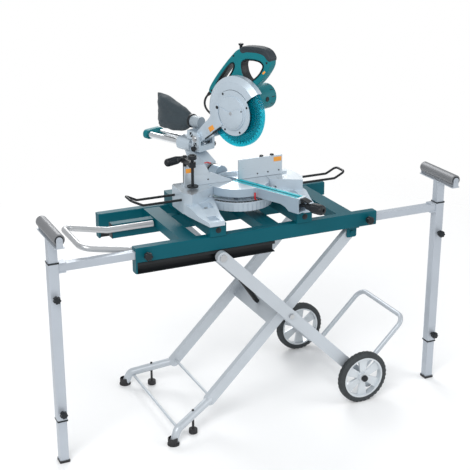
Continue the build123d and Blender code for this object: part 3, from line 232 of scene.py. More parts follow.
milled = Finish("milled_table", (0.66, 0.71, 0.75), 0.24, 0.8)
rings = milled.node("TexWave", {"wave_type": "RINGS", "rings_direction": "Z"},
                    Vector=milled.place(shift=(0, 0.030, 0)), Scale=24.0, Distortion=0.4, Detail=1.0)
haze = milled.cloud(9)
milled.tint(haze * 0.9 + rings * 0.3 - 0.1, 0.90, 1.06)
milled.wire("Roughness", rings * 0.05 + haze * 0.10 + 0.24)

fence_face = Finish("milled_fence", (0.58, 0.65, 0.71), 0.3, 0.55)
strokes = fence_face.cloud(60, 3.0, fence_face.place(scale=(1, 8, 14)))
fence_face.tint(strokes, 0.95, 1.05)
fence_face.wire("Roughness", strokes * 0.2 + 0.22)
fence_face.bump(strokes, 0.10, 0.0003)
print("cast and milled finishes", len(bpy.data.materials))

# %% [markdown]
# The housing is teal nylon: a matt moulded skin with a fine leather grain, which Voronoi cells give as a
# low bump. The black plastics and the rubbers share the recipe, so one function makes them all.

# %% Finishes of the mouldings
def moulded(name, colour, rough, grain=900, depth=0.0004, sheen=0.5):
    finish = Finish(name, colour, rough, Specular_IOR_Level=sheen)
    soft = finish.cloud(22)
    finish.tint(soft * 1.4 - 0.2, 0.9, 1.1)
    finish.wire("Roughness", soft * 0.14 + (rough - 0.07))
    cells = finish.node("TexVoronoi", {"feature": "F1"}, Vector=finish.place(), Scale=float(grain))
    return finish.bump(cells, 0.16, depth)


teal_shell = moulded("teal_nylon", (0.0, 0.165, 0.195), 0.45, sheen=0.28)
black_shell = moulded("black_nylon", (0.011, 0.014, 0.017), 0.42, sheen=0.32)
dark_grip = moulded("grip_rubber", (0.024, 0.034, 0.042), 0.6, 1300, sheen=0.35)
board = moulded("kerf_board_cyan", (0.01, 0.42, 0.50), 0.4, sheen=0.35)
nozzle_grey = moulded("nozzle_grey", (0.30, 0.35, 0.39), 0.38)
soft_black = moulded("cord_rubber", (0.014, 0.016, 0.018), 0.5, 700)
foot_rubber = moulded("foot_rubber", (0.02, 0.02, 0.022), 0.7, 500)
orange_plate = moulded("blank_orange_plate", (0.80, 0.32, 0.04), 0.4, 300, 0.0001)
red_pointer = moulded("red_pointer", (0.62, 0.03, 0.03), 0.35, 300, 0.0001)
pale_ink = moulded("pale_scale_ink", (0.75, 0.78, 0.80), 0.5, 300, 0.0001)
print("with mouldings", len(bpy.data.materials))

# %% [markdown]
# The stand is powder coated: teal on the top frame, silver grey on the legs, black on the small steel
# parts. Powder coat pulls into a soft orange peel. Modelling that would take millions of faces, so a low
# wide bump gives it.

# %% Finishes of the stand
def powder(name, colour, rough, metal=0.0, sheen=0.5):
    finish = Finish(name, colour, rough, metal, Specular_IOR_Level=sheen)
    broad = finish.cloud(6)
    finish.tint(broad * 1.5 - 0.25, 0.92, 1.07)
    finish.wire("Roughness", broad * 0.14 + (rough - 0.07))
    return finish.bump(finish.cloud(420, 1.0), 0.14, 0.0006)


teal_coat = powder("teal_powder_coat", (0.0, 0.088, 0.118), 0.42, sheen=0.18)
silver_coat = powder("silver_powder_coat", (0.50, 0.54, 0.58), 0.36, 0.25)
post_coat = powder("post_powder_coat", (0.44, 0.48, 0.53), 0.38, 0.25)
black_coat = powder("black_coated_steel", (0.010, 0.012, 0.014), 0.36, sheen=0.3)
handle_chrome = powder("plated_tube", (0.52, 0.53, 0.54), 0.33, 0.6)
rim_silver = powder("rim_silver", (0.62, 0.66, 0.69), 0.34, 0.35)
print("with the stand", len(bpy.data.materials))

# %% [markdown]
# Bare metals: drawn steel for pins and screws, hard chrome on the slide pipes, grey zinc on the rollers,
# and a ground blade with rings left by the stone. Noise stretched along one axis looks drawn, and a ring
# wave centred on the arbor looks ground.

# %% Bare metals
def bare(name, colour, rough, grain=(300, 300, 30), depth=0.0002):
    finish = Finish(name, colour, rough, 1.0)
    streaks = finish.cloud(1.0, 3.0, finish.place(scale=grain))
    finish.tint(streaks, 0.9, 1.08)
    finish.wire("Roughness", streaks * 0.12 + (rough - 0.06))
    return finish.bump(streaks, 0.012, depth)


steel = bare("drawn_steel", (0.55, 0.56, 0.57), 0.32)
chrome = bare("chromed_pipe", (0.74, 0.76, 0.78), 0.14, (40, 40, 40))

roller_zinc = Finish("roller_zinc", (0.20, 0.205, 0.215), 0.42, 0.4)
rubbed = roller_zinc.cloud(26, 3.0, roller_zinc.place(scale=(1, 0.15, 1)))
roller_zinc.tint(rubbed * 1.4 - 0.2, 0.85, 1.15)
roller_zinc.wire("Roughness", rubbed * 0.2 + 0.34)

blade_steel = Finish("ground_blade", (0.60, 0.62, 0.64), 0.26, 1.0)
sweep = blade_steel.node("TexWave", {"wave_type": "RINGS", "rings_direction": "X"},
                         Vector=blade_steel.place(shift=(0, 0.03, -1.268)),
                         Scale=26.0, Distortion=1.0, Detail=2.0)
blade_steel.tint(sweep, 0.92, 1.04)
blade_steel.wire("Roughness", sweep * 0.10 + 0.24)
print("with metals", len(bpy.data.materials))

# %% [markdown]
# The lower guard is clear tinted plastic that shows the teeth. Coloured glass would go dark where its walls
# overlap. A coloured Transparent shader works as a filter instead: white turns to bright cyan and steel to
# a deep teal. A share of gloss is mixed over it.

# %% See-through guard
GUARD_TINT = (0.40, 0.86, 0.91)
guard_clear = Finish("guard_tinted", (0.0, 0.36, 0.46), 0.12, Coat_Weight=0.4)
guard_wave = guard_clear.cloud(40)
guard_clear.tint(guard_wave * 1.4 - 0.2, 0.9, 1.06)
guard_clear.film(GUARD_TINT, 0.16)
print("guard lets through", GUARD_TINT)

# %% [markdown]
# Tyre rubber is nearly black with a grey bloom of dust. The bag is a plain weave: two band waves, one for
# the warp and one for the weft, vary the colour and lift the threads.

# %% Tyre rubber and bag cloth
tyre = Finish("tyre_rubber", (0.030, 0.035, 0.038), 0.72)
tyre_dust = tyre.cloud(26)
tyre.tint(tyre_dust * 1.5 - 0.2, 0.75, 1.35)
tyre.bump(tyre.cloud(700, 2.0), 0.3, 0.0006)

bag_cloth = Finish("bag_cloth", (0.028, 0.043, 0.053), 0.80, Sheen_Weight=0.12)
warp, weft = (
    bag_cloth.node("TexWave", {"wave_type": "BANDS", "bands_direction": direction},
                   Vector=bag_cloth.place(), Scale=230.0)
    for direction in "ZX"
)
bag_cloth.tint(warp * 0.3 + weft * 0.3 + bag_cloth.cloud(12) * 0.5, 0.72, 1.3)
bag_cloth.bump(warp + weft, 0.25, 0.0004)
print("all finishes", len(bpy.data.materials))

# %% [markdown]
# CAD solids have knife-sharp edges, and light needs a small round to catch on. A Bevel modifier would trip
# over the loose triangles of the frame. So a copy of each node is merged, its flat triangles are joined
# into whole faces, and its sharp edges get a bevel as wide as the real radius.

# %% Tools to dress a node
BODY_OF = {node: body for body, nodes in frame["record"]["behaviour"]["bodies"].items() for node in nodes}


def finish_piece(piece, finish, body):
    piece.data.materials.clear()
    piece.data.materials.append(finish.material)
    bpy.context.scene.collection.objects.link(piece)
    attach(piece, body)
    return piece


def smooth_faces(mesh, shape, sharp=40):
    """Shade smooth, keep edges sharper than an angle crisp, and hand the shape over to its mesh."""
    for face in shape.faces:
        face.smooth = True
    for edge in shape.edges:
        edge.smooth = not (edge.is_manifold and edge.calc_face_angle(0) > math.radians(sharp))
    shape.to_mesh(mesh)
    shape.free()


def bevel_edges(shape, width, segments, angle):
    edges = [e for e in shape.edges if e.is_manifold and e.calc_face_angle(0) > math.radians(angle)]
    bmesh.ops.bevel(shape, geom=edges, offset=width / 1000, offset_type="OFFSET", affect="EDGES",
                    segments=segments, profile=0.5, material=-1, clamp_overlap=True)


def dress(node, finish, width, segments=2, top=None):
    shape = bmesh.new()
    shape.from_mesh(frame["nodes"][node].data)
    bmesh.ops.remove_doubles(shape, verts=shape.verts, dist=2e-6)
    bmesh.ops.dissolve_limit(shape, angle_limit=math.radians(0.5), verts=shape.verts, edges=shape.edges)
    if width:
        bevel_edges(shape, width, segments, 30)
    mesh = bpy.data.meshes.new(node + "_dressed")
    smooth_faces(mesh, shape)
    piece = finish_piece(bpy.data.objects.new(node + "_dressed", mesh), finish, BODY_OF[node])
    piece.modifiers.new("even_shading", "WEIGHTED_NORMAL").keep_sharp = True
    if top:
        piece.data.materials.append(top.material)
        for face in piece.data.polygons:
            face.material_index = int(face.normal.z > 0.98 and face.center.z > TABLE.z - 0.001)
    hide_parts(node)
    return piece


print("nodes with a body", len(BODY_OF))

# %% [markdown]
# Each row is a finish, the width of the round in millimetres, its segments and the nodes that get them. The
# base and the table come first, because their top faces get the milled finish as a second material.

# %% Dress the CAD nodes
dressed = {
    "saw_base": dress("saw_base", casting, 2.0, 3, top=milled),
    "turn_base": dress("turn_base", casting_blue, 1.2, 3, top=milled),
}
for finish, width, segments, nodes in (
    (casting, 2.0, 3, "bevel_arm carriage gear_case"),
    (casting, 1.2, 3, "blade_case"),
    (fence_face, 0.9, 2, "fence sub_fence_left sub_fence_right"),
    (teal_shell, 0.0, 2, "motor_housing pipe_end_cap"),
    (black_shell, 1.5, 3, "mitre_latch trigger lock_button plug"),
    (nozzle_grey, 1.0, 2, "dust_nozzle"),
    (black_shell, 0.8, 2, "bevel_lever vise_screw"),
    (board, 0.5, 2, "kerf_boards"),
    (teal_coat, 1.0, 2, "front_rail rear_rail cross_frame saw_brackets"),
    (black_coat, 0.8, 2, "slide_tracks release_bar strut_tube vise_arm side_bar_left side_bar_right"),
    (silver_coat, 1.2, 2, "foot_legs wheel_legs"),
    (handle_chrome, 0.6, 2, "transport_handle"),
    (post_coat, 1.0, 2, "support_arm_left support_arm_right support_leg_left support_leg_right"),
    (post_coat, 0.8, 2, "roller_stem_left roller_stem_right"),
    (roller_zinc, 2.0, 2, "roller_left roller_right"),
    (foot_rubber, 2.5, 3, "rubber_feet"),
    (steel, 0.6, 2, "pivot_bolts leg_shafts strut_rod spindle armature"),
    (chrome, 0.8, 2, "slide_pipes"),
    (rim_silver, 1.5, 2, "rim_front rim_rear"),
    (blade_steel, 0.0, 2, "saw_blade"),
    (guard_clear, 0.4, 2, "lower_guard"),
):
    for node in nodes.split():
        dressed[node] = dress(node, finish, width, segments)
print("dressed", len(dressed))

# %% [markdown]
# Knobs, screws, plates and scales are too small for their own CAD solid, but the eye looks for them. Four
# little tools make them: `lathe` spins a profile, `block` is a cube with soft edges, `plate` lifts a flat
# outline, and `arc_band` sweeps a strip round an axis. `fit` joins what belongs together into one piece on
# one moving body.

# %% Tools for small fittings
def soften(shape, width, segments=2, angle=25):
    bmesh.ops.recalc_face_normals(shape, faces=shape.faces)
    bevel_edges(shape, width, segments, angle)
    return shape


def lathe(profile, foot, along, sides=36):
    """Spin pairs of distance and radius in mm round an axis that starts at the foot point."""
    along = along.normalized()
    out = along.orthogonal().normalized()
    shape = bmesh.new()
    points = [shape.verts.new(foot + (along * reach + out * radius) / 1000) for reach, radius in profile]
    edges = [shape.edges.new(pair) for pair in zip(points, points[1:])]
    bmesh.ops.spin(shape, geom=points + edges, cent=foot, axis=along, angle=math.tau, steps=sides,
                   use_merge=True)
    bmesh.ops.remove_doubles(shape, verts=shape.verts, dist=1e-6)
    bmesh.ops.recalc_face_normals(shape, faces=shape.faces)
    return shape


def block(centre, size, along=RIGHT, up=UP, edge=0.8):
    along = along.normalized()
    up = up.normalized()
    turn = Matrix((along, up.cross(along), up)).transposed().to_4x4()
    scale = Matrix.Diagonal((*(length / 1000 for length in size), 1))
    shape = bmesh.new()
    bmesh.ops.create_cube(shape, size=1)
    bmesh.ops.transform(shape, verts=shape.verts, matrix=Matrix.Translation(centre) @ turn @ scale)
    return soften(shape, edge) if edge else shape


def plate(points, lift, edge=0.4):
    shape = bmesh.new()
    face = shape.faces.new([shape.verts.new(point) for point in points])
    grown = bmesh.ops.extrude_face_region(shape, geom=[face], use_keep_orig=True)
    tops = [item for item in grown["geom"] if isinstance(item, bmesh.types.BMVert)]
    bmesh.ops.translate(shape, verts=tops, vec=lift)
    return soften(shape, edge)


def arc_band(corners, centre, axis, degrees, steps=48):
    """Sweep a four-cornered strip round an axis."""
    shape = bmesh.new()
    face = shape.faces.new([shape.verts.new(corner) for corner in corners])
    bmesh.ops.spin(shape, geom=[face, *face.edges, *face.verts], cent=centre, axis=axis,
                   angle=math.radians(degrees), steps=steps)
    bmesh.ops.recalc_face_normals(shape, faces=shape.faces)
    return shape


def fit(name, body, finish, shapes, sharp=40):
    joined = bmesh.new()
    for shape in shapes:
        mesh = bpy.data.meshes.new(name + "_part")
        shape.to_mesh(mesh)
        shape.free()
        joined.from_mesh(mesh)
        bpy.data.meshes.remove(mesh)
    mesh = bpy.data.meshes.new(name)
    smooth_faces(mesh, joined, sharp)
    print(name, "on", body, len(mesh.polygons), "faces")
    return finish_piece(bpy.data.objects.new(name, mesh), finish, body)


print("fitting tools ready")

# %% [markdown]
# Screws, bolts and clamp knobs are all turned shapes. A knob starts round and its rim is then pressed in
# between the finger lobes, which keeps one even mesh where cut-out flutes would leave ragged ones.

# %% Screws, bolts and knobs
def screw_head(foot, along, radius=4.0):
    return lathe([(0, 0.01), (0, radius), (0.9, radius), (1.4, radius * 0.85), (1.4, radius * 0.5),
                  (0.3, radius * 0.42), (0.3, 0)], foot, along, 20)


def hex_bolt(foot, along, radius=7.0):
    washer = [(0, 0.01), (0, radius * 1.5), (1.4, radius * 1.5), (1.6, radius * 1.4), (1.6, 0)]
    head = [(1.5, 0.01), (1.5, radius), (6.2, radius), (7, radius * 0.86), (7, 0)]
    return [lathe(washer, foot, along, 32), lathe(head, foot, along, 6)]


def spokes(shape, foot, along):
    """Each vertex with its reach along an axis in mm, its arm out from the axis and its turn round it."""
    along = along.normalized()
    side = along.orthogonal().normalized()
    other = along.cross(side)
    for vert in shape.verts:
        arm = vert.co - foot
        reach = arm.dot(along) * 1000
        arm -= along * arm.dot(along)
        yield vert, reach, arm, math.atan2(arm.dot(other), arm.dot(side))


def knob(foot, along, radius, length, lobes=7):
    shape = lathe([(0, 0.01), (0, radius * 0.5), (length * 0.3, radius * 0.5), (length * 0.34, radius * 0.94),
                   (length * 0.42, radius), (length * 0.86, radius), (length, radius * 0.82), (length, 0)],
                  foot, along, lobes * 8)
    for vert, _, arm, turn in spokes(shape, foot, along):
        if arm.length > radius * 0.0008:
            vert.co -= arm * 0.11 * (1 + math.cos(turn * lobes))
    return shape


print("screws, bolts and knobs ready")

# %% [markdown]
# The bag behind the saw is cloth with a round neck on the nozzle and a sewn rear seam. It hangs half empty,
# so a loft holds its outline better than a blown-up cushion would: a ring of edges is extruded from station
# to station, going from a circle to a soft rectangle, and a slow noise gives the folds.

# %% Dust bag
NOZZLE_UP = 206
stations = [  # forward, middle height, half height, half width, squareness
    (-249, 206, 25.2, 25.2, 1),
    (-262, 206, 25.6, 25.6, 1),
    (-268, 205.5, 27, 26, 0.95),
    (-276, 204.5, 36, 29, 0.85),
    (-292, 204.5, 45.5, 32, 0.75),
    (-316, 204.5, 54, 33.5, 0.68),
    (-344, 208, 61, 34, 0.62),
    (-374, 213, 66.5, 33.5, 0.6),
    (-404, 218, 71.5, 31.5, 0.6),
    (-428, 221, 74.5, 26, 0.62),
    (-446, 223, 74.5, 17, 0.66),
    (-457, 225, 71, 7, 0.7),
    (-461, 225.5, 69, 2.4, 0.7),
]
bag = bmesh.new()
ring = bmesh.ops.create_circle(bag, segments=48, radius=1, cap_ends=False)["verts"]
flat = [vert.co.xy.to_tuple() for vert in ring]
loop = bag.edges[:]
for number, (forward, middle, tall, wide, square) in enumerate(stations):
    if number:
        grown = bmesh.ops.extrude_edge_only(bag, edges=loop)["geom"]
        loop = [item for item in grown if isinstance(item, bmesh.types.BMEdge)]
        new = {item for item in grown if isinstance(item, bmesh.types.BMVert)}
        ring = [next(edge.other_vert(vert) for edge in vert.link_edges if edge.other_vert(vert) in new)
                for vert in ring]
    for vert, (x, y) in zip(ring, flat):
        x = math.copysign(abs(x) ** square, x) * wide
        y = math.copysign(abs(y) ** square, y) * tall
        vert.co = saw(x, forward, middle + y)
bmesh.ops.holes_fill(bag, edges=loop, sides=0)
bmesh.ops.recalc_face_normals(bag, faces=bag.faces)
bmesh.ops.subdivide_edges(bag, edges=bag.edges, cuts=1, use_grid_fill=True)
bag.normal_update()
for vert in bag.verts:
    place = TURNED.inverted() @ vert.co * 1000
    loose = min(1, max(0, (place.y - 262) / 40))
    fold = noise.noise(Vector((place.x * 0.028, place.y * 0.020, place.z * 0.034)) + Vector((3, 1, 7)))
    crease = 1 - abs(noise.noise(Vector((place.x * 0.02, place.y * 0.030 + place.z * 0.024, 5.0)))) * 2.4
    vert.co += vert.normal * loose * (fold * 0.0060 + max(0, crease) * 0.0026 - 0.0034)
bag_mesh = bpy.data.meshes.new("dust_bag_cloth")
smooth_faces(bag_mesh, bag, 180)
bag_piece = finish_piece(bpy.data.objects.new("dust_bag_cloth", bag_mesh), bag_cloth, "slide_head")
even = bag_piece.modifiers.new("soft", "SUBSURF")
even.levels = even.render_levels = 1
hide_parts("dust_bag")
neck_ring = [(-3, 24.2), (-3, 28), (-2, 29), (6, 29), (7, 28), (7, 24.2), (-3, 24.2)]
fit("bag_neck_ring", "slide_head", black_shell, [lathe(neck_ring, saw(0, -252, NOZZLE_UP), -SAW_FORWARD, 48)])
print("bag faces", len(bag_mesh.polygons))

# %% [markdown]
# The lead leaves the handle's heel, drops behind the blade case and is wound in two layers round the motor
# housing. It is one smooth spline: the route's few points, then fourteen points to each turn of the coil.
# The curve runs inside its points, so those of the coil stand a little further out than the turns.

# %% Route of the mains lead
HANDLE_MIDDLE = 37
HEEL = (-175.2, 337.8)
HEEL_TURN = 221.2
RELIEF = 28
MOTOR = (-23, 315.3)
CORD = 4.5
PER_TURN = 14
LAYER = 3 * PER_TURN


def around(centre, radius, degrees):
    """A point on a circle: two numbers in mm, such as forward and up."""
    turn = math.radians(degrees)
    return (centre[0] + radius * math.cos(turn), centre[1] + radius * math.sin(turn))


coil_inner = 52 + 0.3 + CORD
coil_outer = coil_inner + 2 * CORD
coil_near = 62.5
coil_far = 82.3
route = [
    saw(HANDLE_MIDDLE, *around(HEEL, RELIEF, HEEL_TURN)),
    saw(HANDLE_MIDDLE, *around(HEEL, RELIEF + 24, HEEL_TURN)),
    saw(37, -219, 268),
    saw(46, -199, 239),
    saw(60, -164, 224),
    saw(72, -130, 220),
    saw(84, -100, 225),
    saw(92, -79, 247),
    saw(91.8, -78, 282),
]
outwards = 0.75 + 0.25 * math.cos(math.tau / PER_TURN)
for step in range(2 * LAYER - 1):
    if step < LAYER:
        across = coil_far + (coil_near - coil_far) * step / LAYER + max(0, 9.5 - step * 1.4)
        radius = coil_inner
    else:
        across = coil_near + (coil_far - coil_near) * (step - LAYER) / LAYER
        radius = min(coil_outer, coil_inner + (step - LAYER + 1) * 3)
    route.append(saw(across, *around(MOTOR, radius / outwards, 180 - step * 360 / PER_TURN)))
route += [saw(coil_far, -89, 281), saw(coil_far, -104.6, 307), saw(coil_far, -104.6, 332)]
print("route points", len(route))

# %% [markdown]
# A NURBS curve with a round bevel is the lead, because its bends stay smooth however few points it has. A
# copy with no bevel is made a mesh, a plain line, and then removed again.

# %% Mains lead
line = bpy.data.curves.new("mains_lead", "CURVE")
line.dimensions = "3D"
line.bevel_depth = CORD / 1000
line.bevel_resolution = 5
spline = line.splines.new("NURBS")
spline.points.add(len(route) - 1)
for point, place in zip(spline.points, route):
    point.co = (*place, 1)
spline.order_u = 3
spline.use_endpoint_u = True
spline.resolution_u = 6
mains_lead = finish_piece(bpy.data.objects.new("mains_lead", line), soft_black, "saw_head")

thin_line = line.copy()
thin_line.bevel_depth = 0
thin_lead = bpy.data.objects.new("thin_lead", thin_line)
traced = bpy.data.meshes.new_from_object(thin_lead)
bpy.data.objects.remove(thin_lead)
bpy.data.curves.remove(thin_line)
bpy.data.meshes.remove(traced)

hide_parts("cord_lead", "cord_coil")
tuple(route[0])

# %% [markdown]
# Where the lead leaves the heel, a tapered rubber sleeve with ribs keeps it from kinking. Its ribs are
# steps of one lathe profile. A strap of three flat pieces ties the coil.

# %% Sleeve and coil tie
sleeve = [(0, 0.01), (0, 9.0)]
for rib in range(6):
    sleeve += [(2 + rib * 4, 8.9 - rib * 0.38), (3.4 + rib * 4, 8.7 - rib * 0.38),
               (3.4 + rib * 4, 7.2 - rib * 0.33), (5.4 + rib * 4, 7.0 - rib * 0.33)]
sleeve += [(RELIEF, 6.5), (RELIEF, 0)]
heel_along = SAW_FORWARD * math.cos(math.radians(HEEL_TURN)) + UP * math.sin(math.radians(HEEL_TURN))
relief = fit("cord_relief_ribbed", "saw_head", soft_black,
             [lathe(sleeve, saw(HANDLE_MIDDLE, *HEEL), heel_along, 32)])
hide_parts("cord_relief")
fit("coil_tie", "saw_head", black_shell, [
    block(saw(72.4, MOTOR[0], MOTOR[1] + 71.2), (31, 13, 1.6), SAW_RIGHT),
    block(saw(57.6, MOTOR[0], MOTOR[1] + 62), (1.6, 13, 19), SAW_RIGHT),
    block(saw(87.2, MOTOR[0], MOTOR[1] + 62), (1.6, 13, 19), SAW_RIGHT),
])

# %% [markdown]
# Grips are turned shapes pressed with flutes for the fingers. The lathe makes the body and each vertex then
# moves towards the axis where a flute lies, only along the thick part of the grip.

# %% Fluted grips
def fluted_grip(profile, foot, along, flutes, start, end, depth):
    shape = lathe(profile, foot, along, flutes * 10)
    for vert, reach, arm, turn in spokes(shape, foot, along):
        if start < reach < end and arm.length > 0.006:
            groove = max(0, math.cos(turn * flutes)) ** 2 * min(1, (reach - start) / 6, (end - reach) / 5)
            vert.co -= arm.normalized() * depth / 1000 * groove
    return shape


mitre_profile = [
    (0, 0.01), (0, 7), (94, 7), (95, 9), (97, 12), (104, 13), (112, 13.6), (120, 16.5), (127, 19.6),
    (134, 21), (142, 21), (150, 21), (158, 21), (166, 20.8), (172, 20), (177, 18), (180, 14.5), (180, 7),
    (178, 6.4), (166, 6), (166, 0)]
mitre_grip = fit("mitre_grip_fluted", "grip", black_shell,
                 [fluted_grip(mitre_profile, saw(0, 270, -30), SAW_FORWARD, 8, 118, 178, 2.2)], 50)
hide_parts("mitre_grip")
lever_profile = [
    (0, 0.01), (0, 9.8), (4, 10), (18, 12), (30, 14.6), (42, 17), (52, 17), (62, 17), (72, 17), (84, 17),
    (92, 16.8), (97, 15.4), (101, 11.5), (102, 8), (102, 0)]
fit("bevel_grip_fluted", "bevel_clamp", black_shell,
    [fluted_grip(lever_profile, saw(-48.2, -262, 52), -SAW_RIGHT, 6, 30, 96, -0.9)], 50)

# %% [markdown]
# A tyre is a lathe shape too. Half of its profile is written down, with the grooves round the tread, and
# the other half mirrors it. Every second pair of steps of the spin is pressed in at the shoulders, which
# leaves lugs.

# %% Tyres and hub caps
TYRE_HALF = 18
half_tyre = [(15, 92), (17.6, 95), (TYRE_HALF, 99), (17.6, 104), (16, 109), (13.4, 113), (11, 114.6),
             (7.4, 115), (7.0, 112.6), (5.4, 112.6), (5.0, 115), (1.2, 115), (0.8, 112.6)]
tyre_profile = [(-across, radius) for across, radius in half_tyre] + half_tyre[::-1] + [(-15, 92)]
for side, name in ((-1, "front"), (1, "rear")):
    low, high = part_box("tyre_" + name)
    middle = (Vector(low) + Vector(high)) / 2
    along = Vector((0, side, 0))
    rubber = lathe(tyre_profile, middle, along, 144)
    for vert in rubber.verts:
        arm = vert.co - middle
        step = round(math.degrees(math.atan2(arm.z, arm.x)) / 2.5)
        out = math.hypot(arm.x, arm.z)
        if step % 4 in (0, 1) and 0.0085 < abs(arm.y) < 0.0175 and out > 0.105:
            vert.co -= Vector((arm.x, 0, arm.z)).normalized() * 0.0022
    piece = fit("tyre_treaded_" + name, "wheel_" + name, tyre, [rubber], 35)
    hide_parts("tyre_" + name)
    hub = middle + along * (TYRE_HALF + 7.4) / 1000
    fit("hub_cap_" + name, "wheel_leg_pair", black_shell,
        [lathe([(-7, 14.2), (0, 14.2), (3, 12.8), (4.6, 9), (5, 5), (5, 0)], hub, along, 40)])

# %% [markdown]
# The handle is a hollow moulding in two halves with soft round rims. A box with cut holes would need every
# rim rounded by hand, while a flat curve gives that in one go: a closed line and its two holes are filled,
# extruded to the handle's depth and given a round bevel. Each corner is two points that automatic handles
# join.

# %% Tools for mouldings
def rounded(corners, reach):
    """Two points for each corner, a reach in mm before and after it."""
    points = []
    for number, corner in enumerate(corners):
        for other in (corners[number - 1], corners[(number + 1) % len(corners)]):
            run = Vector(other) - Vector(corner)
            points.append(Vector(corner) + run * min(0.42, reach / run.length))
    return points


def moulding(lines, half, rim, fill="BOTH"):
    """Closed lines in the handle's plane, half a depth to each side, with a round rim; all in mm."""
    curve = bpy.data.curves.new("outline", "CURVE")
    curve.dimensions = "2D"
    curve.fill_mode = fill
    curve.extrude = (half - rim) / 1000
    curve.bevel_depth = rim / 1000
    curve.offset = -rim / 1000
    curve.bevel_resolution = 4
    for points in lines:
        path = curve.splines.new("BEZIER")
        path.bezier_points.add(len(points) - 1)
        path.use_cyclic_u = True
        path.resolution_u = 7
        for bend, place in zip(path.bezier_points, points):
            bend.co = (*place / 1000, 0)
            bend.handle_left_type = bend.handle_right_type = "AUTO"
    flat_piece = bpy.data.objects.new("outline", curve)
    flat_mesh = bpy.data.meshes.new_from_object(flat_piece)
    shape = bmesh.new()
    shape.from_mesh(flat_mesh)
    bpy.data.objects.remove(flat_piece)
    bpy.data.curves.remove(curve)
    bpy.data.meshes.remove(flat_mesh)
    bmesh.ops.remove_doubles(shape, verts=shape.verts, dist=1e-6)
    turn = Matrix((SAW_FORWARD, UP, -SAW_RIGHT)).transposed().to_4x4()
    place = Matrix.Translation(saw(HANDLE_MIDDLE, 0, 0))
    bmesh.ops.transform(shape, matrix=place @ turn, verts=shape.verts)
    bmesh.ops.recalc_face_normals(shape, faces=shape.faces)
    return shape


print("moulding tools ready")

# %% [markdown]
# The outlines are the handle's side view: forward and up in millimetres. One hole is the carrying loop at
# the back, the other the D round the switch, and the soft grip wraps over the top.

# %% Handle and grip
handle_outline = [(-182, 346), (-168, 330), (-146, 328), (-104, 356), (-60, 374), (40, 374), (78, 392),
                  (150, 474), (158, 508), (150, 530), (122, 549), (38, 550), (-24, 530)]
carry_loop = [(-134, 366), (-112, 358), (-44, 436), (-30, 470), (-46, 478), (-134, 378)]
switch_loop = [(4, 488), (70, 502), (116, 494), (122, 476), (58, 410), (38, 408), (8, 442)]
grip_outline = [(-6, 541), (38, 552), (123, 551), (152, 532), (160, 506), (144, 501), (120, 525), (40, 526),
                (0, 516)]
loops = [rounded(carry_loop, 8), rounded(switch_loop, 9)]
handle_shell = fit("handle_shell", "saw_head", teal_shell,
                   [moulding([rounded(handle_outline, 15), *loops], 20, 7.5)])
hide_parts("handle")
grip_pad = fit("handle_grip_pad", "saw_head", dark_grip, [moulding([rounded(grip_outline, 10)], 22, 7)])
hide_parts("handle_grip")

# %% [markdown]
# Both holes have a black lining that stands a little proud, made as a ribbon along the hole and then given
# a wall. Ribs on the sides of the grip, the screws of the two halves and a small orange plate finish the
# handle.

# %% Linings, ribs and screws
linings = []
for loop in loops:
    ribbon = moulding([loop], 21, 0, "NONE")
    bmesh.ops.solidify(ribbon, geom=ribbon.faces[:], thickness=0.0035)
    linings.append(soften(ribbon, 1.0, 2, 60))
fit("loop_linings", "saw_head", black_shell, linings)
fit("grip_ribs", "saw_head", dark_grip, [
    block(saw(across, 16 + number * 6.2, 537.5), (1.6, 2.6, 8), SAW_RIGHT, UP + SAW_FORWARD * 0.5, 0.5)
    for number in range(17) for across in (14.8, 59.2)])
shell_screws = [(-36, 504), (-10, 420), (-78, 380), (138, 498), (-158, 346)]
fit("shell_screws", "saw_head", black_shell, [
    screw_head(saw(across, *place), out, 4.4)
    for across, out in ((17.2, -SAW_RIGHT), (56.8, SAW_RIGHT)) for place in shell_screws])
fit("switch_plate", "saw_head", orange_plate, [
    block(saw(16.9, 124, 458), (0.8, 16, 8), SAW_RIGHT, UP - SAW_FORWARD * 0.9, 0.3)])

# %% [markdown]
# The blade case is a spun pan. On its outer face lie a thin cover with a curved top edge, which is opened
# to reach the arbor bolt, a few dark screws, and a thin black band of painted shade in the groove that parts
# the rim from the raised middle. Thin pieces on the face do this without cutting the case.

# %% Blade case
BLADE = (0, 285)
cover = [around(BLADE, 63, degrees) for degrees in range(-196, 29, 8)]
cover += [(44, 304), (34, 307), (22, 304), (8, 296), (-8, 291), (-26, 292), (-44, 298)]
fit("case_cover", "saw_head", casting,
    [plate([saw(-36, *point) for point in cover], -SAW_RIGHT * 0.0032, 1.5)])
fit("case_screws", "saw_head", black_shell, [
    screw_head(saw(face, *place), -SAW_RIGHT, radius)
    for face, place, radius in (
        (-33.6, (-80, 297), 7), (-29, (76, 318), 4.6), (-29, (-40, 212), 4.6), (-29, (40, 212), 4.6),
        (-29, (-52, 355), 4.6), (-38.2, (56, 302), 4.2))])
# A black band at the groove: painted shade in it.
groove = [(91.9, -25.6), (93.3, -25.6), (93.3, -26.2), (91.9, -26.2)]
groove_shade_start = [saw(face, *around(BLADE, radius, 42)) for radius, face in groove]
fit("case_groove_shade", "saw_head", black_shell, [arc_band(groove_shade_start, saw(0, *BLADE), -SAW_RIGHT, 113)])
fit("arbor_window", "saw_head", steel, hex_bolt(saw(-39, *BLADE), -SAW_RIGHT, 4.5))
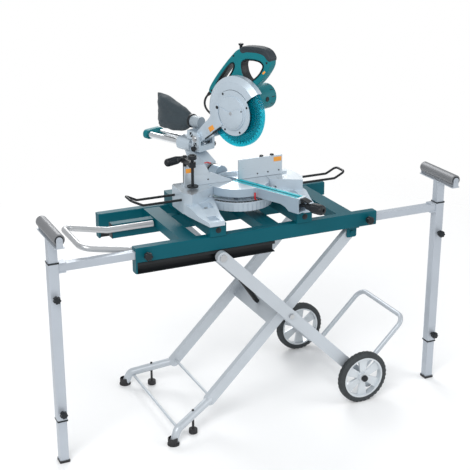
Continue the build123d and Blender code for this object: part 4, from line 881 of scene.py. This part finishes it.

# %% [markdown]
# The motor end has slots for the cooling air, set in a ring by turning one direction, shown as dark blocks
# of painted shade, and a round cap over the brush on each side.

# %% Motor
# Dark blocks over the cooling slots: painted shade of the openings.
slot_shades = []
for number in range(10):
    turn = math.radians(-60 + number * 33)
    out = SAW_FORWARD * math.cos(turn) + UP * math.sin(turn)
    slot_shades.append(block(saw(188, *MOTOR) + out * 0.0518, (20, 3.2, 1.4), SAW_RIGHT, out, 0.6))
fit("motor_slot_shade", "saw_head", black_shell, slot_shades)
brush_cap = [(0, 0.01), (0, 10), (2, 10), (3, 9), (3, 3), (2.2, 2), (2.2, 0)]
fit("brush_caps", "saw_head", black_shell, [
    lathe(brush_cap, saw(150, *MOTOR) + out * 0.0512, out) for out in (SAW_FORWARD, -SAW_FORWARD)])

# %% [markdown]
# The slide carriage carries the lock knobs of the slide, the nuts of the chop pivot and three-cornered
# pockets between its cast ribs. The pockets are not cut: thin dark plates paint their shade, since at this
# size only their shadow shows. Plastic plugs close the front ends of the pipes.

# %% Carriage
CARRIAGE_SIDE = 48
CHOP_PIN = (-195, 148)
SIDES = ((-1, -SAW_RIGHT), (1, SAW_RIGHT))
fit("slide_lock_knobs", "slide_head", black_shell, [
    knob(saw(side * CARRIAGE_SIDE, -190, 108), out, 12, 18) for side, out in SIDES])
# Dark plates over the pockets: painted shade, not cut recesses.
pocket_shade_corners = [[(-222, 172), (-208, 172), (-222, 157)], [(-219, 153), (-206, 168), (-206, 153)],
           [(-198, 132), (-184, 132), (-184, 118)], [(-201, 129), (-201, 118), (-188, 117)]]
fit("carriage_pocket_shade", "slide_head", black_shell, [
    plate([saw(side * (CARRIAGE_SIDE + 0.05), *corner) for corner in one_pocket_shade], out * 0.0006, 0)
    for one_pocket_shade in pocket_shade_corners for side, out in SIDES])
pipe_plug = [(0, 0.01), (0, 12.8), (0.6, 12.8), (1, 12.2), (1, 0)]
fit("pipe_plugs", "slide_head", black_shell, [
    lathe(pipe_plug, saw(side * 30, -188, 112), SAW_FORWARD, 40) for side, _ in SIDES])
fit("chop_nuts", "slide_head", steel, [
    shape for side, out in SIDES for shape in hex_bolt(saw(side * CARRIAGE_SIDE, *CHOP_PIN), out, 9)])

# %% [markdown]
# The head's arm runs up from the chop pin and ends in a cheek, one plate that lies over the edge of the
# blade case. Its outline is measured along the arm and across it, which is simpler than in the tilted side
# view. A black strip of painted shade marks the dark gap along its lower edge.

# %% Arm of the head
ARM_SLOPE = math.atan2(137, 195)
ARM_REACH = 238
ARM_ACROSS = UP - SAW_FORWARD * 0.7


def on_arm(along, across):
    """A point in the near wall of the arm, measured from the chop pin towards the blade."""
    forward = along * math.cos(ARM_SLOPE) - across * math.sin(ARM_SLOPE)
    up = along * math.sin(ARM_SLOPE) + across * math.cos(ARM_SLOPE)
    return saw(-27, CHOP_PIN[0] + forward, CHOP_PIN[1] + up)


cheek = [(62, -17), (110, -17)]
cheek += [around((ARM_REACH, 0), 75, 180 - degrees) for degrees in range(-13, 50, 6)]
cheek += [(189, 63), (184, 69), (176, 71), (166, 67), (140, 52), (120, 42), (100, 37), (75, 32), (62, 28)]
fit("arm_cheek", "saw_head", casting,
    [plate([on_arm(*corner) for corner in cheek], -SAW_RIGHT * 0.0067, 1.2)])
fit("arm_plate", "saw_head", orange_plate, [
    block(saw(-34, -112, 204), (0.8, 30, 20), SAW_RIGHT, ARM_ACROSS, 0.3)])
# A black strip under the cheek: painted shade of the gap there.
fit("arm_gap_shade", "saw_head", black_shell, [
    block(saw(-33.1, -103, 184.8), (1.4, 112, 6.5), SAW_RIGHT, ARM_ACROSS, 0.6)])

# %% [markdown]
# Two scales help to set the cut: one on the ring under the table for the mitre, one on the hub for the
# bevel. Each is a dark band with pale ticks, read against a red pointer on the piece that turns. The ticks
# are thin blocks rather than a painted pattern, so they stay crisp from close by.

# %% Mitre scale
def on_ring(radius, degrees, up):
    return base(*around((0, 0), radius, degrees), up)


mitre_band = [(131.5, -50.1), (145.6, -50.1), (145.6, -49.2), (131.5, -49.2)]
fit("mitre_scale", "frame", black_shell, [
    arc_band([on_ring(radius, 205, up) for radius, up in mitre_band], TABLE, UP, 130, 64)])
ticks = []
for degrees in range(210, 331, 5):
    length = 8 if degrees % 15 == 0 else 5
    out = on_ring(1, degrees, 0) - TABLE
    ticks.append(block(on_ring(145 - length / 2, degrees, -49.1), (length, 1.1, 0.4), out, UP, 0))
fit("mitre_ticks", "frame", pale_ink, ticks, 20)
pointer_across = SAW_RIGHT - SAW_FORWARD * 0.25
fit("mitre_pointer", "turntable", red_pointer, [
    block(saw(-33, 127.5, -33), (9, 4, 28), pointer_across, UP, 1.0),
    block(saw(-33, 133, -46.4), (5, 9, 1.4), pointer_across, UP, 0.4)])

# %% Bevel scale
def on_hub(radius, degrees, forward):
    right, up = around((0, 0), radius, degrees)
    return saw(right, forward, up)


BAND_BACK = -147
BAND_FRONT = -131
bevel_band = [(41.8, BAND_BACK), (41.8, BAND_FRONT), (43, BAND_FRONT), (43, BAND_BACK)]
fit("bevel_scale", "turntable", black_shell, [
    arc_band([on_hub(radius, 28, forward) for radius, forward in bevel_band], TABLE, SAW_FORWARD, 124)])
ticks = []
for degrees in range(35, 150, 5):
    length = 11 if degrees % 15 == 0 else 7
    out = on_hub(1, degrees, 0) - TABLE
    across = on_hub(1, degrees - 90, 0) - TABLE
    ticks.append(block(on_hub(43.1, degrees, BAND_BACK + length / 2), (1.0, length, 0.5), across, out, 0))
fit("bevel_ticks", "turntable", pale_ink, ticks, 20)
fit("bevel_pointer", "bevel", red_pointer, [
    block(saw(-13, -150, 47.5), (7, 26, 4), SAW_RIGHT, UP, 1.0),
    block(saw(-20, -158, 47.5), (20, 8, 4), SAW_RIGHT, UP, 1.0)])

# %% [markdown]
# The fence is milled in front and plain behind. Its screws are black, small knobs behind its sliding halves
# clamp them, and each half has a small orange plate.

# %% Fence
for name, x, z, height in (("left", -209, 66, 18), ("right", 184, 68, 19)):
    fit("fence_plate_" + name, "sub_fence_" + name, orange_plate,
        [block(base(x, -0.3, z), (36, 0.8, height), RIGHT, UP, 0.3)])
fit("fence_screws", "frame", black_shell, [screw_head(base(x, -0.1, 20), FRONT, 3.2) for x in (-200, -130)])
fit("sub_fence_screws", "sub_fence_right", black_shell, [
    screw_head(base(x, -0.1, z), FRONT, 3.2) for x, z in ((92, 16), (140, 18), (190, 20))])
fit("fence_knobs_right", "sub_fence_right", black_shell, [
    knob(base(x, 13.4, 67), UP, 9, 22) for x in (116, 164)])
fit("fence_knob_left", "sub_fence_left", black_shell, [knob(base(-186, 15.6, 56), -FRONT, 10, 18)])

# %% [markdown]
# Flat screws hold the kerf boards, four bolts hold the base down, and the vise has a threaded screw with a
# knob. The thread is a lathe profile that goes in and out: at this size rings look like a thread, and a
# true helix would only cost faces.

# %% Table, bolts and vise
VISE_X = -212
VISE_ROD_Y = 45
VISE_SCREW_Y = -34
board_screw = [(0, 0.01), (0, 2.6), (0.25, 2.4), (0.25, 0)]
fit("board_screws", "turntable", black_shell, [
    lathe(board_screw, saw(side * 13.5, forward, -0.05), UP, 16)
    for side in (-1, 1) for forward in (-2, 95, 200, 318)])
fit("table_bolts", "frame", steel, [
    shape for x in (-190, 190) for y, z in ((-115, -62), (74, -74))
    for shape in hex_bolt(base(x, y, z), UP, 6.5)])
fit("vise_fittings", "vise", black_shell, [
    knob(base(VISE_X - 15, VISE_ROD_Y, 101), -RIGHT, 8, 16),
    knob(base(VISE_X, VISE_ROD_Y + 15, 101), -FRONT, 7, 12)])
thread = [(14 + turn * 2.6 + rise, radius) for turn in range(28) for rise, radius in ((0, 5.6), (1.3, 6.0))]
fit("vise_thread", "vise_clamp", black_coat, [lathe(thread, base(VISE_X, VISE_SCREW_Y, 0), UP, 24)])
fit("vise_knob", "vise_clamp", black_shell, [knob(base(VISE_X, VISE_SCREW_Y, 120.5), UP, 17, 19.5, 9)])

# %% [markdown]
# The stand's clamps are black moulded knobs on the outside of the tubes they hold. Rollers have dark
# bearing caps, square sleeves have a collar at the mouth, and tube ends are closed with plastic. Left and
# right are alike, so one loop makes both.

# %% Stand fittings
POST = 850
POST_Y = -220


def collar(x, z):
    """Four strips round the mouth of a square sleeve."""
    return ([block(stand(x + end * 20.2, POST_Y, z), (1.6, 42, 7)) for end in (1, -1)]
            + [block(stand(x, POST_Y + end * 20.2, z), (42, 1.6, 7)) for end in (1, -1)])


rail_plug = [(-2, 8.8), (0, 8.8), (0, 11.5), (1.4, 11.5), (2.2, 10.5), (2.4, 0)]
bearing_cap = [(-0.4, 0.01), (-0.4, 16.5), (0.5, 16.5), (0.7, 15.6), (0.7, 6.5), (0.3, 6), (0.3, 0)]
rail_knobs = []
for side, name in ((-1, "left"), (1, "right")):
    x = side * POST
    rail_knobs.append(knob(stand(side * 488, -240, 815), FRONT, 17, 34))
    rail_knobs.append(lathe(rail_plug, stand(side * 190, -245, 870), FRONT, 32))
    fit("clamp_knobs_arm_" + name, "arm_" + name, black_shell, [
        knob(stand(x, POST_Y - 20, z), FRONT, 15, 32) for z in (700, 222)])
    fit("bearing_caps_" + name, "roller_" + name, black_shell, [
        lathe(bearing_cap, stand(x, POST_Y + end * 115, 961), Vector((0, end, 0)), 40) for end in (-1, 1)])
    fit("sleeve_collars_" + name, "arm_" + name, black_shell, [
        strip for z in (836.5, 184.5) for strip in collar(x, z)])
    fit("leg_shoe_" + name, "leg_" + name, foot_rubber, [
        block(stand(x, POST_Y, 6.4), (42, 42, 12.4), edge=2.5)])
fit("clamp_knobs_frame", "frame", black_shell, rail_knobs)
fit("rail_end_caps", "frame", black_shell, [
    block(stand(-515.6, 95, 808), (2.4, 37, 61), edge=1.0),
    block(stand(525.8, 220, 815), (1.6, 38, 58), edge=0.7)])
foot_cap = [(0, 17.3), (0, 19.5), (1, 20.5), (22, 20.5), (25, 19), (26, 17.3)]
fit("foot_caps", "foot_leg_pair", foot_rubber, [
    lathe(foot_cap, stand(-415.6, side * 288, 6.5), UP, 40) for side in (-1, 1)])

# %% [markdown]
# The studio has a wide pale floor that keeps the shadow and fades out by its Alpha, so that no horizon
# shows. The camera sees a white world, while the object is lit by a dimmer one and three soft lamps: a
# large one at the left, a weaker one at the right and one behind for the edges.

# %% Floor
floor_shape = bmesh.new()
bmesh.ops.create_grid(floor_shape, x_segments=1, y_segments=1, size=30)
floor_mesh = bpy.data.meshes.new("studio_floor")
floor_shape.to_mesh(floor_mesh)
floor_shape.free()
floor = bpy.data.objects.new("studio_floor", floor_mesh)
bpy.context.scene.collection.objects.link(floor)
floor_paint = Finish("studio_paint", (0.92, 0.92, 0.92), 0.9, Specular_IOR_Level=0.1)
reach = floor_paint.node("VectorMath", {"operation": "LENGTH"}, out=1, Vector=floor_paint.place())
floor_paint.wire("Alpha", (reach * -0.5 + 1.75).clamp())
floor.data.materials.append(floor_paint.material)
print("stage", floor.name)

# %% World and lamps
world = bpy.data.worlds.new("studio")
bpy.context.scene.world = world
world.use_nodes = True
sky = world.node_tree
soft = sky.nodes["Background"]
soft.inputs["Color"].default_value = (0.96, 0.98, 1, 1)
soft.inputs["Strength"].default_value = 0.62
white = sky.nodes.new("ShaderNodeBackground")
white.inputs["Color"].default_value = (1, 1, 1, 1)
ray = sky.nodes.new("ShaderNodeLightPath")
choose = sky.nodes.new("ShaderNodeMixShader")
sky.links.new(ray.outputs["Is Camera Ray"], choose.inputs[0])
sky.links.new(soft.outputs[0], choose.inputs[1])
sky.links.new(white.outputs[0], choose.inputs[2])
sky.links.new(choose.outputs[0], sky.nodes["World Output"].inputs["Surface"])
for name, place, size, power in (
    ("key", (-2.6, -2.8, 3.6), 2.6, 130),
    ("fill", (3.4, -2.2, 2.2), 2.4, 45),
    ("rim", (0.8, 3.2, 3.2), 2.0, 70),
):
    lamp = bpy.data.objects.new(name, bpy.data.lights.new(name, "AREA"))
    lamp.data.size = size
    lamp.data.energy = power
    lamp.location = place
    lamp.rotation_mode = "QUATERNION"
    lamp.rotation_quaternion = (aim - Vector(place)).to_track_quat("-Z", "Y")
    bpy.context.scene.collection.objects.link(lamp)
bpy.context.scene.view_settings.view_transform = "Standard"
print("lamps", len(bpy.data.lights))

# %% Finish
bpy.context.view_layer.update()
